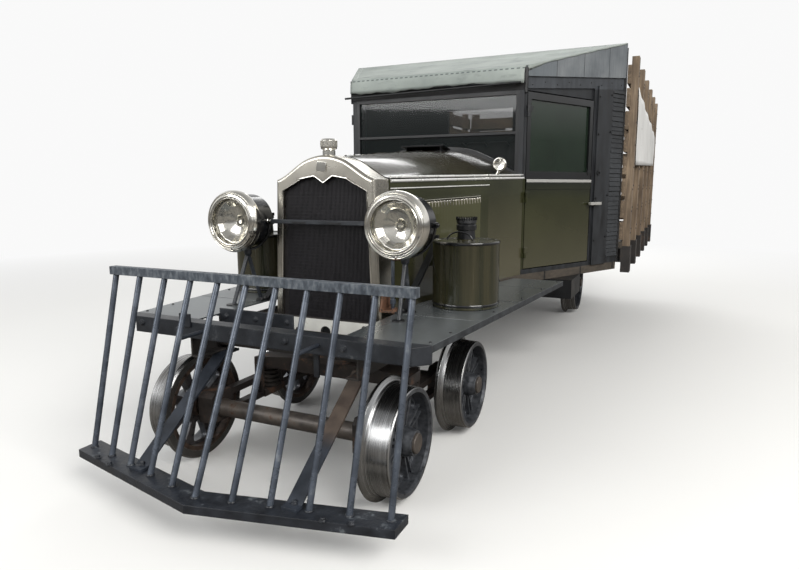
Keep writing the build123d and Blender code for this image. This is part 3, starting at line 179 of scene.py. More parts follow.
class Shader(Nodes):
    """A Principled material whose colour, roughness and relief come from nodes."""

    def __init__(self, name):
        self.material = bpy.data.materials.new(name)
        self.material.use_nodes = True
        super().__init__(self.material.node_tree)
        self.bsdf = self.add("BsdfPrincipled", {"Coat Roughness": 0.06})
        self.output = self.add("OutputMaterial", [self.bsdf.outputs[0]])
        self.coords = self.add("TexCoord").outputs["Object"]

    def noise(self, scale, detail=4.0, stretch=(1, 1, 1), rough=0.55):
        place = self.add("Mapping", {"Vector": self.coords, "Scale": stretch}).outputs[0]
        feeds = {"Vector": place, "Scale": scale, "Detail": detail, "Roughness": rough}
        return self.add("TexNoise", feeds).outputs["Fac"]

    def ramp(self, factor, *colors, low=0.3, high=0.7):
        """Two colours from low to high, or three with the second at 0.5."""
        return self.stops(factor, list(zip((low, 0.5, high) if len(colors) == 3 else (low, high), colors)))

    def spread(self, factor, low, high, start=0.3, end=0.7):
        """Start to end stretched to low to high."""
        return self.add("MapRange", [factor, start, end, low, high]).outputs["Result"]

    def math(self, kind, *values):
        return self.add("Math", values, operation=kind).outputs[0]

    def times(self, value, *others):
        for other in others:
            value = self.math("MULTIPLY", value, other)
        return value

    def less(self, first, second):
        return self.math("SUBTRACT", first, second)

    def larger(self, first, second):
        return self.math("MAXIMUM", first, second)

    def weigh(self, first, share, second):
        """Two values in one, the first counting for its share and the second for the rest."""
        return self.math("ADD", self.times(first, share), self.times(second, 1 - share))

    def repeat(self, value, rate):
        """0 to 1 again and again, rate times a metre."""
        return self.math("FRACT", self.times(value, rate))

    def invert(self, value):
        return self.less(1.0, value)

    def above(self, value, limit, soft=0.001):
        """1 where value is over limit, 0 under it."""
        return self.spread(value, 0.0, 1.0, limit - soft, limit + soft)

    def below(self, value, limit, soft=0.001):
        """1 where value is under limit, 0 over it."""
        return self.spread(value, 1.0, 0.0, limit - soft, limit + soft)

    def along(self, direction, origin=(0, 0, 0)):
        """How far a point lies from origin along a direction, in metres."""
        shift = self.add("VectorMath", [self.coords, origin], operation="SUBTRACT").outputs[0]
        return self.add("VectorMath", [shift, direction], operation="DOT_PRODUCT").outputs["Value"]

    def aside(self):
        """How far a point lies from the car's middle plane."""
        return self.math("ABSOLUTE", self.along((1, 0, 0)))

    def behind(self, y):
        """How far a point lies behind a place of the car."""
        return self.along(BACK, at(0, y, 0))

    def height(self):
        return self.along(UP, (0, 0, FLANGE))

    def radius(self, first, second):
        squares = [self.math("POWER", value, 2.0) for value in (first, second)]
        return self.math("SQRT", self.math("ADD", *squares))

    def side_out(self):
        """How far a point stands out from the face of its cab side."""
        across = self.times(self.less(self.aside(), DOOR_ORIGIN.x), DOOR_OUT.x)
        return self.math("ADD", across, self.times(self.behind(DOOR_ORIGIN.y), DOOR_OUT.y))

    def blend(self, factor, first, second):
        """Colour first where factor is 0 and second where it is 1."""
        return self.add("Mix", {0: factor, 6: first, 7: second}, data_type="RGBA").outputs[2]

    def mix(self, factor, first, second):
        """A number, first where factor is 0 and second where it is 1."""
        return self.add("Mix", {0: factor, 2: first, 3: second}).outputs[0]

    def set(self, color, rough, **others):
        for key, value in {"Base_Color": color, "Roughness": rough, **others}.items():
            self.feed(self.bsdf.inputs[key.replace("_", " ")], value)

    def made(self, edge, *heights):
        """The material, with bumps from (height, depth in metres) pairs over softly rounded edges."""
        normal = {}
        if edge:
            normal["Normal"] = self.add("Bevel", {"Radius": edge}, samples=4).outputs[0]
        for height, depth in heights:
            feeds = {"Height": height, "Distance": depth, **normal}
            normal["Normal"] = self.add("Bump", feeds).outputs[0]
        if normal:
            self.feed(self.bsdf.inputs["Normal"], normal["Normal"])
        return self.material


# Materials
def paint(name, dark, light, rough, coat=0.0, scale=6.0, stretch=(1, 1, 1), worn=None,
          worn_at=0.68, metal=0.0, bump=0.0, edge=0.0015, fine=90.0):
    """A painted or bare surface in two close tones, with patches worn through to a third."""
    mat = Shader(name)
    broad = mat.noise(scale, 6.0, stretch)
    small = mat.noise(fine, 4.0, stretch)
    color = mat.ramp(broad, dark, light)
    if worn:
        patches = mat.spread(mat.weigh(broad, 0.7, small), 0.0, 1.0, worn_at - 0.1, worn_at)
        color = mat.blend(patches, color, worn)
    mat.set(color, mat.spread(broad, *rough), Metallic=metal, Coat_Weight=coat)
    return mat.made(edge, *([(small, bump)] if bump else []))


def boards(name, dark, light, axis, rough=(0.6, 0.85), depth=0.0012, width=0.0, across=UP):
    """Weathered wood with grain along one axis and, where width is given, joints across another."""
    stretch = [1.0, 1.0, 1.0]
    stretch[axis] = 0.07
    mat = Shader(name)
    grain = mat.noise(81.0, 8.0, stretch, 0.65)
    tint = mat.weigh(grain, 0.6, mat.noise(4.5, 3.0))
    middle = tuple((a + b) / 2 for a, b in zip(tone(*dark), tone(*light)))
    color = mat.ramp(tint, dark, middle, light, low=0.34, high=0.66)
    heights = [(grain, depth)]
    if width:
        joint = mat.math("LESS_THAN", mat.repeat(mat.along(across), 1 / width), 0.035)
        color = mat.blend(joint, color, (14, 14, 14))
        heights.append((mat.invert(joint), 0.002))
    mat.set(color, mat.spread(grain, *rough))
    return mat.made(0.002, *heights)


def wheel_iron(name, axle_y, radius):
    """A cast wheel: turned tread and flange, dark spokes, rust on the inner side."""
    mat = Shader(name)
    out = mat.radius(mat.behind(axle_y), mat.less(mat.height(), radius))
    rim = mat.above(out, radius - 0.0085)
    small = mat.noise(45.0, 5.0)
    rings = mat.noise(170.0, 3.0, (1, 0, 0))
    iron = mat.ramp(small, (50, 52, 56), (92, 95, 100))
    rust = mat.ramp(small, (58, 50, 46), (94, 78, 68), low=0.35, high=0.65)
    iron = mat.blend(mat.below(mat.aside(), 0.466, 0.012), iron, rust)
    bright = mat.ramp(rings, (116, 116, 117), (160, 161, 162), (198, 199, 200), low=0.32)
    bright = mat.blend(mat.spread(mat.noise(7.0), 0.0, 0.5, 0.45, 0.7), bright, (112, 106, 98))
    mat.set(mat.blend(rim, iron, bright),
            mat.mix(rim, mat.spread(small, 0.26, 0.42), mat.spread(rings, 0.2, 0.32)),
            Metallic=mat.mix(rim, 0.45, 1.0))
    return mat.made(0.003, (rings, 0.0002))


def pane(name, tint, alpha):
    """Glass seen as a dark, shining film over what lies behind it."""
    mat = Shader(name)
    smear = mat.noise(5.0, 5.0)
    color = mat.ramp(smear, tint, tuple(min(1.0, value * 1.5) for value in tone(*tint)))
    mat.set(color, mat.spread(smear, 0.02, 0.07), Alpha=alpha, IOR=1.5, Specular_IOR_Level=0.8)
    return mat.made(0.0)


def lamp_shell():
    """Black drum, bright stepped bezel and bright bowl, told apart by place."""
    mat = Shader("lamp_shell")
    small = mat.noise(30.0)
    y = mat.behind(LAMP_FRONT)
    radius = mat.radius(mat.less(mat.aside(), LAMP_X), mat.less(mat.height(), LAMP_Z))
    bowl = mat.times(mat.below(radius, LENS_R + 0.001), mat.below(y, 0.072))
    bright = mat.larger(mat.below(y, 0.0372), bowl)
    steps = mat.math("ABSOLUTE", mat.math("SINE", mat.times(radius, pi / 0.0092)))
    color = mat.blend(bright, mat.ramp(small, (14, 14, 16), (26, 27, 30)),
                      mat.ramp(small, (200, 196, 184), (222, 219, 208)))
    mat.set(color, mat.mix(bright, 0.16, mat.spread(small, 0.13, 0.22)), Metallic=bright)
    return mat.made(0.0015, (mat.times(steps, mat.above(radius, 0.103), bright), 0.0022))


def door_paint():
    """Olive below the belt, darker just under it and lighter towards the bottom as painted reflection, a
    black window frame above it, nickel on the handle and a near-white painted highlight on the beads.
    """
    mat = Shader("door_paint")
    broad = mat.noise(2.5, 5.0)
    height = mat.height()
    upper = mat.above(height, 1.1675)
    lower = mat.invert(upper)
    out = mat.side_out()
    # Belt beads: their near-white is a painted highlight on the olive moulding.
    bead = mat.times(mat.above(out, 0.0055), mat.above(height, 1.149), lower)
    lever = mat.times(mat.above(out, 0.0175), mat.above(lower, 0.5), mat.above(height, 0.98),
                      mat.below(height, 1.05))
    black = mat.larger(upper, mat.below(out, -0.004))
    # Painted reflection: darker near the belt, lighter towards the bottom.
    color = mat.blend(mat.above(height, 1.10, 0.05), mat.ramp(broad, *OLIVE), (26, 29, 20))
    color = mat.blend(mat.spread(height, 0.0, 0.8, 1.06, 0.66), color, (72, 70, 54))
    color = mat.blend(black, color, mat.ramp(broad, (8, 9, 10), (22, 24, 27)))
    # Real nickel on the lever, painted highlight on the beads.
    bright = mat.larger(lever, bead)
    mat.set(mat.blend(bright, color, (226, 225, 220)), mat.mix(upper, mat.spread(broad, 0.09, 0.17), 0.34),
            Metallic=mat.times(bright, 0.6), Coat_Weight=0.4)
    return mat.made(0.0025)


def side_paint():
    """The fixed side: olive by the scuttle, worn black on header, pillar and filler."""
    mat = Shader("cab_side_paint")
    grain = mat.noise(60.0, 6.0, (1, 0.1, 0.1))
    y = mat.behind(0)
    height = mat.height()
    black = mat.larger(mat.above(y, 1.60, 0.002), mat.above(height, BELT_Z + 0.004, 0.002))
    black = mat.larger(black, mat.below(height, 0.650))
    header = mat.above(mat.less(height, mat.times(y, 0.1015)), 1.500)
    dark = mat.blend(header, mat.ramp(grain, (14, 15, 18), (42, 45, 49)),
                     mat.ramp(grain, (36, 39, 44), (68, 72, 77)))
    mat.set(mat.blend(black, mat.ramp(mat.noise(3.0), *OLIVE), dark),
            mat.mix(black, 0.15, mat.spread(grain, 0.4, 0.65)))
    return mat.made(0.002, (grain, 0.0006))


def cowl_paint():
    """Brownish gloss on top of the scuttle, olive on its sides, lighter towards their bottom as painted
    reflection.
    """
    mat = Shader("cowl_paint")
    broad = mat.noise(2.5)
    height = mat.height()
    # Painted reflection: the sides lighter towards the bottom.
    low = mat.spread(height, 0.0, 0.85, 1.12, 0.70)
    side = mat.blend(low, mat.ramp(broad, *OLIVE), (82, 78, 60))
    color = mat.blend(mat.above(height, 1.196, 0.006), side, mat.ramp(broad, *BROWN))
    mat.set(color, mat.spread(broad, 0.13, 0.24), Coat_Weight=0.4)
    return mat.made(0.002)


def pilot_paint():
    """Dark glossy pipes under a paler, worn top bar."""
    mat = Shader("pilot_paint")
    broad = mat.noise(12.0, 6.0)
    small = mat.noise(60.0, 5.0, (1, 1, 0.5))
    top = mat.above(mat.height(), PILOT_BAR_Z, 0.0005)
    rail = mat.ramp(small, (56, 62, 70), (80, 87, 95), (112, 118, 124), low=0.34, high=0.66)
    patches = mat.spread(mat.weigh(broad, 0.6, small), 0.0, 0.8, 0.58, 0.66)
    pipe = mat.blend(patches, mat.ramp(broad, (58, 64, 73), (92, 99, 110)), (126, 131, 136))
    mat.set(mat.blend(top, pipe, rail), mat.mix(top, mat.spread(broad, 0.2, 0.34), 0.5),
            Metallic=mat.mix(top, 0.45, 0.2))
    return mat.made(0.002, (small, 0.0005))


def deck_paint():
    """Worn sheet on top, its grey and pale patches partly wear and partly painted reflection, with dark
    turned-down edges and ribs.
    """
    mat = Shader("deck_paint")
    broad = mat.noise(3.0, 6.0, (1, 0.25, 1))
    small = mat.noise(30.0)
    top = mat.above(mat.height(), DECK_TOP - 0.0012, 0.0004)
    # The top's grey and pale patches: partly wear, partly painted reflection on the dark metal.
    sheet = mat.blend(mat.spread(small, 0.0, 0.5, 0.6, 0.75),
                      mat.ramp(broad, (84, 90, 93), (130, 135, 137)), (160, 163, 162))
    edge = mat.ramp(small, (30, 33, 37), (62, 66, 70))
    mat.set(mat.blend(top, edge, sheet), mat.mix(top, 0.5, mat.spread(broad, 0.18, 0.36)),
            Metallic=mat.mix(top, 0.1, 0.62))
    return mat.made(0.002, (small, 0.0003))


def hood_side_paint():
    """Olive gloss, lighter towards the bottom as painted reflection, with each louvre's ridge lit on one
    flank and dark on the other.
    """
    mat = Shader("hood_side_paint")
    broad = mat.noise(2.5, 5.0)
    height = mat.height()
    # Painted reflection: the panel lighter towards the bottom.
    color = mat.blend(mat.spread(height, 0.0, 0.5, 1.0, 0.72), mat.ramp(broad, *OLIVE), (70, 68, 50))
    run = mat.times(mat.behind(HOOD_FRONT.y), HOOD_LENGTH / (HOOD_REAR.y - HOOD_FRONT.y))
    turn = mat.repeat(mat.less(run, LOUVRE_FIRST), 1 / LOUVRE_PITCH)
    inside = mat.times(mat.above(run, LOUVRE_FIRST), mat.below(run, LOUVRE_LAST + 0.016),
                       mat.above(height, 0.762, 0.004), mat.below(height, 1.068, 0.004))
    lit = mat.blend(mat.above(turn, 0.52, 0.06), (84, 84, 62), (16, 17, 11))
    mat.set(mat.blend(mat.times(inside, 0.75), color, lit), mat.spread(broad, 0.10, 0.2), Coat_Weight=0.5)
    return mat.made(0.0015)


def brace_paint():
    """Blue-black flats, rusty where the paint is gone near the left one's head."""
    mat = Shader("brace_paint")
    broad = mat.noise(14.0, 6.0)
    height = mat.height()
    bare = mat.times(mat.above(height, 0.275, 0.02), mat.below(height, 0.46, 0.01),
                     mat.above(mat.along((1, 0, 0)), 0.1, 0.01))
    color = mat.blend(bare, mat.ramp(broad, (24, 29, 36), (48, 54, 64)),
                      mat.ramp(broad, (60, 51, 46), (92, 80, 70)))
    mat.set(color, mat.spread(broad, 0.35, 0.6))
    return mat.made(0.002, (broad, 0.001))


def canvas():
    """Weathered roof canvas with a stitched seam, blotches and a fine weave."""
    mat = Shader("roof_canvas")
    broad = mat.noise(3.0, 6.0)
    weave = mat.noise(260.0, 3.0)
    stain = mat.spread(mat.noise(9.0, 6.0, (1, 1, 2.5)), 0.0, 0.55, 0.56, 0.74)
    color = mat.blend(stain, mat.ramp(broad, (132, 140, 136), (165, 172, 167)), (98, 106, 103))
    seam = mat.below(mat.math("ABSOLUTE", mat.less(mat.height(), SEAM_Z)), 0.0035)
    dash = mat.math("GREATER_THAN", mat.repeat(mat.along((1, 0, 0)), 31.0), 0.45)
    stitch = mat.times(seam, dash)
    mat.set(mat.blend(stitch, color, (84, 92, 92)), mat.spread(weave, 0.7, 0.9))
    return mat.made(0.004, (weave, 0.0005), (broad, 0.004), (stitch, 0.0015))


def side_board():
    """Grey patched boards with upright joints and stains."""
    mat = Shader("side_board")
    grain = mat.noise(80.0, 8.0, (1, 1, 0.08), 0.65)
    y = mat.behind(1.55)
    tint = mat.weigh(grain, 0.35, mat.noise(4.0))
    color = mat.ramp(tint, (80, 85, 89), (103, 108, 112), (126, 130, 132), low=0.36, high=0.66)
    color = mat.blend(mat.times(mat.below(y, 0.235), 0.45), color, (88, 96, 102))
    joint = mat.math("LESS_THAN", mat.repeat(y, 4.2), 0.022)
    mat.set(mat.blend(joint, color, (60, 64, 67)), mat.spread(grain, 0.6, 0.85))
    return mat.made(0.003, (grain, 0.0008), (mat.invert(joint), 0.0015))


def rack_wood():
    """Weathered slats with level grain and stakes with upright grain."""
    mat = Shader("rack_wood")
    flat = mat.noise(70.0, 8.0, (1, 0.07, 1), 0.65)
    upright = mat.noise(70.0, 8.0, (1, 1, 0.07), 0.65)
    grain = mat.mix(mat.above(mat.aside(), 1.0125), flat, upright)
    tint = mat.weigh(grain, 0.55, mat.noise(3.0))
    color = mat.ramp(tint, (84, 72, 60), (118, 102, 84), (156, 138, 116), low=0.36, high=0.64)
    mat.set(color, mat.spread(grain, 0.6, 0.88))
    return mat.made(0.003, (grain, 0.0014))


def tank_paint():
    """Streaked gloss on the tank, whose upright green-brown colour streaks are painted streak reflections,
    black on its neck and cap.
    """
    mat = Shader("tank_paint")
    streaks = mat.noise(9.0, 6.0, (3, 3, 0.12))
    top = mat.above(mat.height(), TANK_TOP)
    # Painted reflection: upright colour streaks; the same streaks also vary the roughness.
    color = mat.blend(top, mat.ramp(streaks, (30, 33, 20), (62, 58, 40)), (22, 23, 25))
    mat.set(color, mat.mix(top, mat.spread(streaks, 0.14, 0.3), 0.3), Coat_Weight=0.35,
            Coat_Roughness=0.08)
    return mat.made(0.002)


MAT = {
    "hood_brown": paint("hood_gloss", *BROWN, (0.16, 0.28), coat=0.35, scale=2.5),
    "black": paint("black_satin", (10, 11, 12), (24, 26, 29), (0.3, 0.5), scale=8.0, bump=0.0002),
    "black_gloss": paint("black_gloss", (8, 8, 9), (18, 19, 21), (0.08, 0.16), coat=0.5, scale=4.0),
    # Deck sheet: its grey and pale patches are partly wear, partly painted reflection.
    "sheet": paint("worn_sheet", (88, 92, 94), (132, 136, 137), (0.2, 0.38), scale=3.0, metal=0.6,
                   stretch=(1, 0.25, 1), worn=(158, 160, 158), bump=0.0003, edge=0.003, fine=30.0),
    "beam": paint("beam_paint", (24, 27, 32), (48, 52, 58), (0.3, 0.5), scale=11.0, worn=(86, 88, 90),
                  bump=0.0012, edge=0.005),
    "plate": paint("plate_paint", (20, 23, 28), (44, 48, 55), (0.28, 0.5), scale=16.0, worn=(104, 110, 114),
                   worn_at=0.69, bump=0.0014, edge=0.005),
    "truck": paint("truck_iron", (26, 23, 22), (56, 48, 43), (0.45, 0.7), scale=14.0, worn=(92, 66, 50),
                   worn_at=0.66, bump=0.0010, edge=0.003),
    "axle": paint("axle_iron", (64, 59, 56), (104, 97, 90), (0.34, 0.6), scale=16.0, worn=(84, 62, 50),
                  worn_at=0.66, metal=0.4, bump=0.0006),
    "spring": paint("spring_steel", (36, 33, 31), (62, 55, 50), (0.45, 0.65), scale=20.0, bump=0.0006),
    "frame": paint("frame_paint", (32, 31, 31), (56, 52, 49), (0.45, 0.7), scale=10.0, worn=(92, 72, 58),
                   worn_at=0.67, bump=0.0010, edge=0.003),
    "rust": paint("rusty_iron", (84, 58, 44), (134, 96, 72), (0.6, 0.8), scale=18.0, worn=(58, 48, 42),
                  worn_at=0.62, bump=0.0012),
    "nickel": paint("old_nickel", (174, 170, 160), (202, 198, 188), (0.2, 0.32), scale=3.0, metal=1.0,
                    edge=0.003),
    "nickel_bright": paint("bright_nickel", (218, 215, 206), (234, 232, 225), (0.1, 0.18), metal=1.0,
                           edge=0.0012),
    # Mouldings: their near-white is a painted highlight on olive beads.
    "trim": paint("trim_painted_highlight", (224, 224, 222), (240, 240, 238), (0.22, 0.3), metal=0.55, edge=0.0),
    "core": paint("core_black", (24, 23, 26), (40, 38, 42), (0.42, 0.6), scale=60.0, bump=0.0004),
    "radiator_apron": paint("apron_paint", (206, 206, 200), (226, 226, 220), (0.4, 0.6), scale=12.0,
                            worn=(150, 142, 128)),
    "engine_block": paint("engine_iron", (44, 44, 42), (74, 72, 68), (0.5, 0.7), scale=12.0, bump=0.001),
    "leather": paint("seat_leather", (34, 28, 24), (56, 46, 38), (0.36, 0.52), scale=20.0, bump=0.0008),
    "cloth": paint("banner_cloth", (214, 214, 212), (234, 234, 232), (0.7, 0.85), scale=4.0, bump=0.0006),
    "visor": boards("black_board", (22, 22, 23), (50, 50, 52), 1, (0.45, 0.7)),
    "filler": boards("filler_board", (20, 22, 24), (58, 61, 65), 1, (0.55, 0.85), depth=0.002),
    "bulkhead": boards("wall_board", (14, 14, 15), (34, 34, 35), 0, (0.5, 0.75), width=0.14),
    "floor_board": boards("floor_board", (44, 40, 35), (84, 76, 66), 1, width=0.16, across=(1, 0, 0)),
    "slat_rear": boards("gate_wood", (78, 66, 54), (142, 124, 102), 0),
    "wheels_front": wheel_iron("front_wheel_iron", 0.0, FRONT_WHEEL_R),
    "wheels_second": wheel_iron("second_wheel_iron", SECOND_AXLE_Y, FRONT_WHEEL_R),
    "wheels_rear": wheel_iron("rear_wheel_iron", REAR_AXLE_Y, REAR_WHEEL_R),
    "cab_glass": pane("screen_glass", (26, 32, 32), 0.34),
    # Door glass: its dark green tint is a painted reflection.
    "door_glass": pane("side_glass", (26, 38, 28), 0.78),
    "lens": pane("lens_glass", (120, 120, 114), 0.10),
    "headlamp_drums": lamp_shell(), "water_tanks": tank_paint(), "door": door_paint(),
    "cab_sides": side_paint(), "cowl": cowl_paint(), "fabric": canvas(), "side_racks": rack_wood(),
    "roof_side_boards": side_board(), "pipe": pilot_paint(), "pilot_braces": brace_paint(),
    "deck_plates": deck_paint(), "hood_sides": hood_side_paint(),
}

NODE_LOOKS = {
    "axle": "axle_front axle_second axle_rear", "truck": "truck_side_frames truck_bolster",
    "spring": "truck_springs rear_suspension", "frame": "main_frame bed_frame",
    "beam": "front_beam lamp_mounts", "plate": "pilot_plate", "pipe": "pilot_bars",
    "nickel": "radiator_shell hood_hinge", "core": "radiator_core",
    "nickel_bright": "radiator_cap cowl_lamps", "lens": "headlamp_lenses",
    "black": "deck_straps windshield_frame side_boxes", "hood_brown": "hood_top_left hood_top_right",
    "black_gloss": "cowl_vent", "door": "door_left door_right",
    "door_glass": "door_glass_left door_glass_right", "floor_board": "cab_floor bed_floor",
    "fabric": "cab_roof", "leather": "seat", "slat_rear": "gate_left gate_right",
}
NODE_LOOK = {name: look for look, names in NODE_LOOKS.items() for name in names.split()}
for name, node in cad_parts.items():
    look = MAT[NODE_LOOK.get(name, name)]
    if not node.material_slots:
        node.data.materials.append(look)
    for material_slot in node.material_slots:
        material_slot.link = "OBJECT"
        material_slot.material = look


class Piece:
    """Many small shapes gathered into one mesh."""

    def __init__(self):
        self.mesh = bmesh.new()

    def ring(self, points):
        return [self.mesh.verts.new(point) for point in points]

    def face(self, corners):
        corners = list(dict.fromkeys(corners))
        if len(corners) > 2:
            self.mesh.faces.new(corners)

    def skin(self, rings, ends=True, around=True):
        """Faces between rings of as many points, and over both ends where they are closed."""
        count = len(rings[0])
        for first, second in zip(rings, rings[1:]):
            for index in range(count if around else count - 1):
                after = (index + 1) % count
                self.face([first[index], first[after], second[after], second[index]])
        if ends:
            self.face(rings[0])
            self.face(rings[-1])
        return self

    def prism(self, low, high):
        """A solid between two outlines of as many points."""
        return self.skin([self.ring(low), self.ring(high)])

    def box(self, x0, x1, y0, y1, z0, z1):
        corners = [(x0, y0), (x0, y1), (x1, y1), (x1, y0)]
        return self.prism([at(x, y, z0) for x, y in corners], [at(x, y, z1) for x, y in corners])

    def grid(self, rows):
        """A skin over rows of points."""
        return self.skin([self.ring(row) for row in rows], False, False)

    def lathe(self, profile, origin, direction, count=32, closed=True):
        """Turn (along, radius) points about an axis."""
        direction = Vector(direction).normalized()
        across = direction.orthogonal().normalized()
        other = direction.cross(across)
        spokes = [across * cos(turn) + other * sin(turn) for turn in turns(count)]
        rings = []
        for along, radius in profile:
            base = Vector(origin) + direction * along
            if radius:
                rings.append(self.ring(base + spoke * radius for spoke in spokes))
            else:
                rings.append(self.ring([base]) * count)
        return self.skin(rings, closed)

    def bar(self, start, end, radius, count=12):
        return self.lathe([(0, radius), ((end - start).length, radius)], start, end - start, count)

    def bolt(self, origin, direction, radius=0.009, height=0.007):
        """A hexagon head on a washer."""
        self.lathe([(0, radius * 1.45), (height * 0.25, radius * 1.45)], origin, direction, 16)
        head = [(height * 0.2, radius), (height * 0.85, radius), (height, radius * 0.86)]
        return self.lathe(head, origin, direction, 6)

    def rivet(self, origin, direction, radius=0.006):
        """A round rivet head."""
        profile = ((0, 1), (0.35, 0.92), (0.6, 0.6), (0.7, 0))
        return self.lathe([(radius * a, radius * b) for a, b in profile], origin, direction, 12, False)

    def sweep(self, points, across, up=None, count=10):
        """Carry an oval section along a run of points."""
        section = [(across * cos(turn), (up or across) * sin(turn)) for turn in turns(count)]
        rings = []
        for index, point in enumerate(points):
            heading = (points[min(index + 1, len(points) - 1)] - points[max(index - 1, 0)]).normalized()
            right = heading.cross(Vector(UP if abs(heading.z) < 0.95 else BACK)).normalized()
            above = right.cross(heading)
            rings.append(self.ring(point + right * a + above * b for a, b in section))
        return self.skin(rings)

    def done(self, name, look, body="chassis", slot=None, bevel=0.0, solid=0.0, smooth=35.0):
        """The finished object, in its look, riding on its body."""
        bmesh.ops.recalc_face_normals(self.mesh, faces=self.mesh.faces)
        data = bpy.data.meshes.new(name)
        self.mesh.to_mesh(data)
        self.mesh.free()
        data.materials.append(MAT[look])
        for polygon in data.polygons:
            polygon.use_smooth = True
        data.set_sharp_from_angle(angle=radians(smooth))
        piece = linked(name, data)
        if solid:
            modifier = piece.modifiers.new("solid", "SOLIDIFY")
            modifier.thickness = solid
            modifier.offset = 0.0
        if bevel:
            modifier = piece.modifiers.new("bevel", "BEVEL")
            modifier.width = bevel
            modifier.segments = 2
            modifier.limit_method = "ANGLE"
        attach(piece, body)
        return piece


def pick(table, place):
    """A value between the rows of a short table."""
    for (x0, y0), (x1, y1) in zip(table, table[1:]):
        if place <= x1:
            return y0 + (y1 - y0) * (place - x0) / (x1 - x0)
    return table[-1][1]


# Radiator
CORE_TOP = [(0.0, 1.145), (0.046, 1.174), (0.116, 1.162), (0.208, 1.110)]
FIN_PITCH = 0.0064
FIN_ROWS = 37
FIN_ROW_FIRST = 0.572
FIN_ROW_PITCH = 0.0147
FIN_REACH = 0.222
FIN_TAPER = 0.038
CORE_FOOT = 0.556
CAP_Y = 0.354
CAP_R = 0.0345
KNURL = Vector((0, 0, 0.024))
CRANK_HOLE = at(0, 0.297, 0.502)

fins = Piece()
for index in range(-32, 33):
    x = index * FIN_PITCH
    fins.box(x - 0.0011, x + 0.0011, 0.3205, 0.3245, 0.560, pick(CORE_TOP, abs(x)) - 0.004)
for index in range(FIN_ROWS):
    z = FIN_ROW_FIRST + index * FIN_ROW_PITCH
    reach = FIN_REACH - (z - CORE_FOOT) * FIN_TAPER
    fins.box(-reach, reach, 0.3222, 0.3245, z - 0.0012, z + 0.0012)
fins.done("radiator_fins", "core")

lip = Piece()
lip_right = [(0.231, 0.560)] + CORE_TOP[::-1]
lip_edge = [(-x, z) for x, z in lip_right] + lip_right[-2::-1]
lip.sweep([at(x * 0.995, 0.303, z - 0.001) for x, z in lip_edge], 0.004)
lip.done("radiator_lip", "nickel_bright")

plate = Piece()
plate.prism(*[[at(x, y, z) for x, z in ((-0.034, 1.194), (0.015, 1.189), (0.020, 1.229), (-0.028, 1.234))]
              for y in (0.2985, 0.304)])
plate.done("shell_blank_plate", "nickel_bright", bevel=0.0015)

knurls = Piece()
for turn in turns(30):
    foot = at(CAP_R * cos(turn), CAP_Y + CAP_R * sin(turn), 1.295)
    knurls.bar(foot, foot + KNURL, 0.0021, 8)
knurls.done("cap_knurls", "nickel")

# Painted shade: the black cup closing the crank hole stands for the dark inside of the hole; a black ring
# sits round it.
crank_hole = Piece()
crank_hole.lathe([(-0.0006, 0.0195), (0.0034, 0.0195), (0.0034, 0.0)], CRANK_HOLE, BACK, 28, False)
crank_hole.lathe([(-0.0015, 0.0245), (-0.004, 0.0235), (-0.004, 0.0205), (-0.0005, 0.0200)],
                 CRANK_HOLE, BACK, 28, False)
crank_hole.done("crank_hole_ring", "black")
apron_bolts = Piece()
for x, z in ((-0.145, 0.499), (-0.19, 0.534), (0.19, 0.534), (0.150, 0.470), (-0.19, 0.468)):
    apron_bolts.bolt(at(x, 0.296, z), FORWARD, 0.007, 0.006)
apron_bolts.done("apron_bolts", "frame")

# Headlamps
BOWL = [(0.0135, 0.0955), (0.020, 0.089), (0.030, 0.0795), (0.040, 0.0695), (0.0425, 0.066), (0.050, 0.049),
        (0.058, 0.0285), (0.064, 0.012)]
BULB = [(0.028, 0.0), (0.030, 0.006), (0.036, 0.0095), (0.044, 0.009), (0.052, 0.006), (0.066, 0.006)]
RIM = [(-0.0005, 0.0970), (-0.0072, 0.0980), (-0.0085, 0.1005), (-0.0066, 0.1030), (-0.0066, 0.1085),
       (-0.0086, 0.1097), (-0.0058, 0.1165), (-0.0070, 0.1185), (-0.0010, 0.1235), (-0.0022, 0.1255),
       (0.0056, 0.1305), (0.0140, 0.1342), (0.0340, 0.1342), (0.0362, 0.1310), (0.0368, 0.1240)]
SCREW = [(-0.012, 0.0), (-0.0115, 0.003), (-0.005, 0.0038)]
SCREW_PLACE = Vector((0.004, 0, -0.119))
LENS_RINGS = 12
FORK_R = 0.1285
FORK_BACK = Vector((0, 0.105, 0))
EAR = (0.112, 0.137)

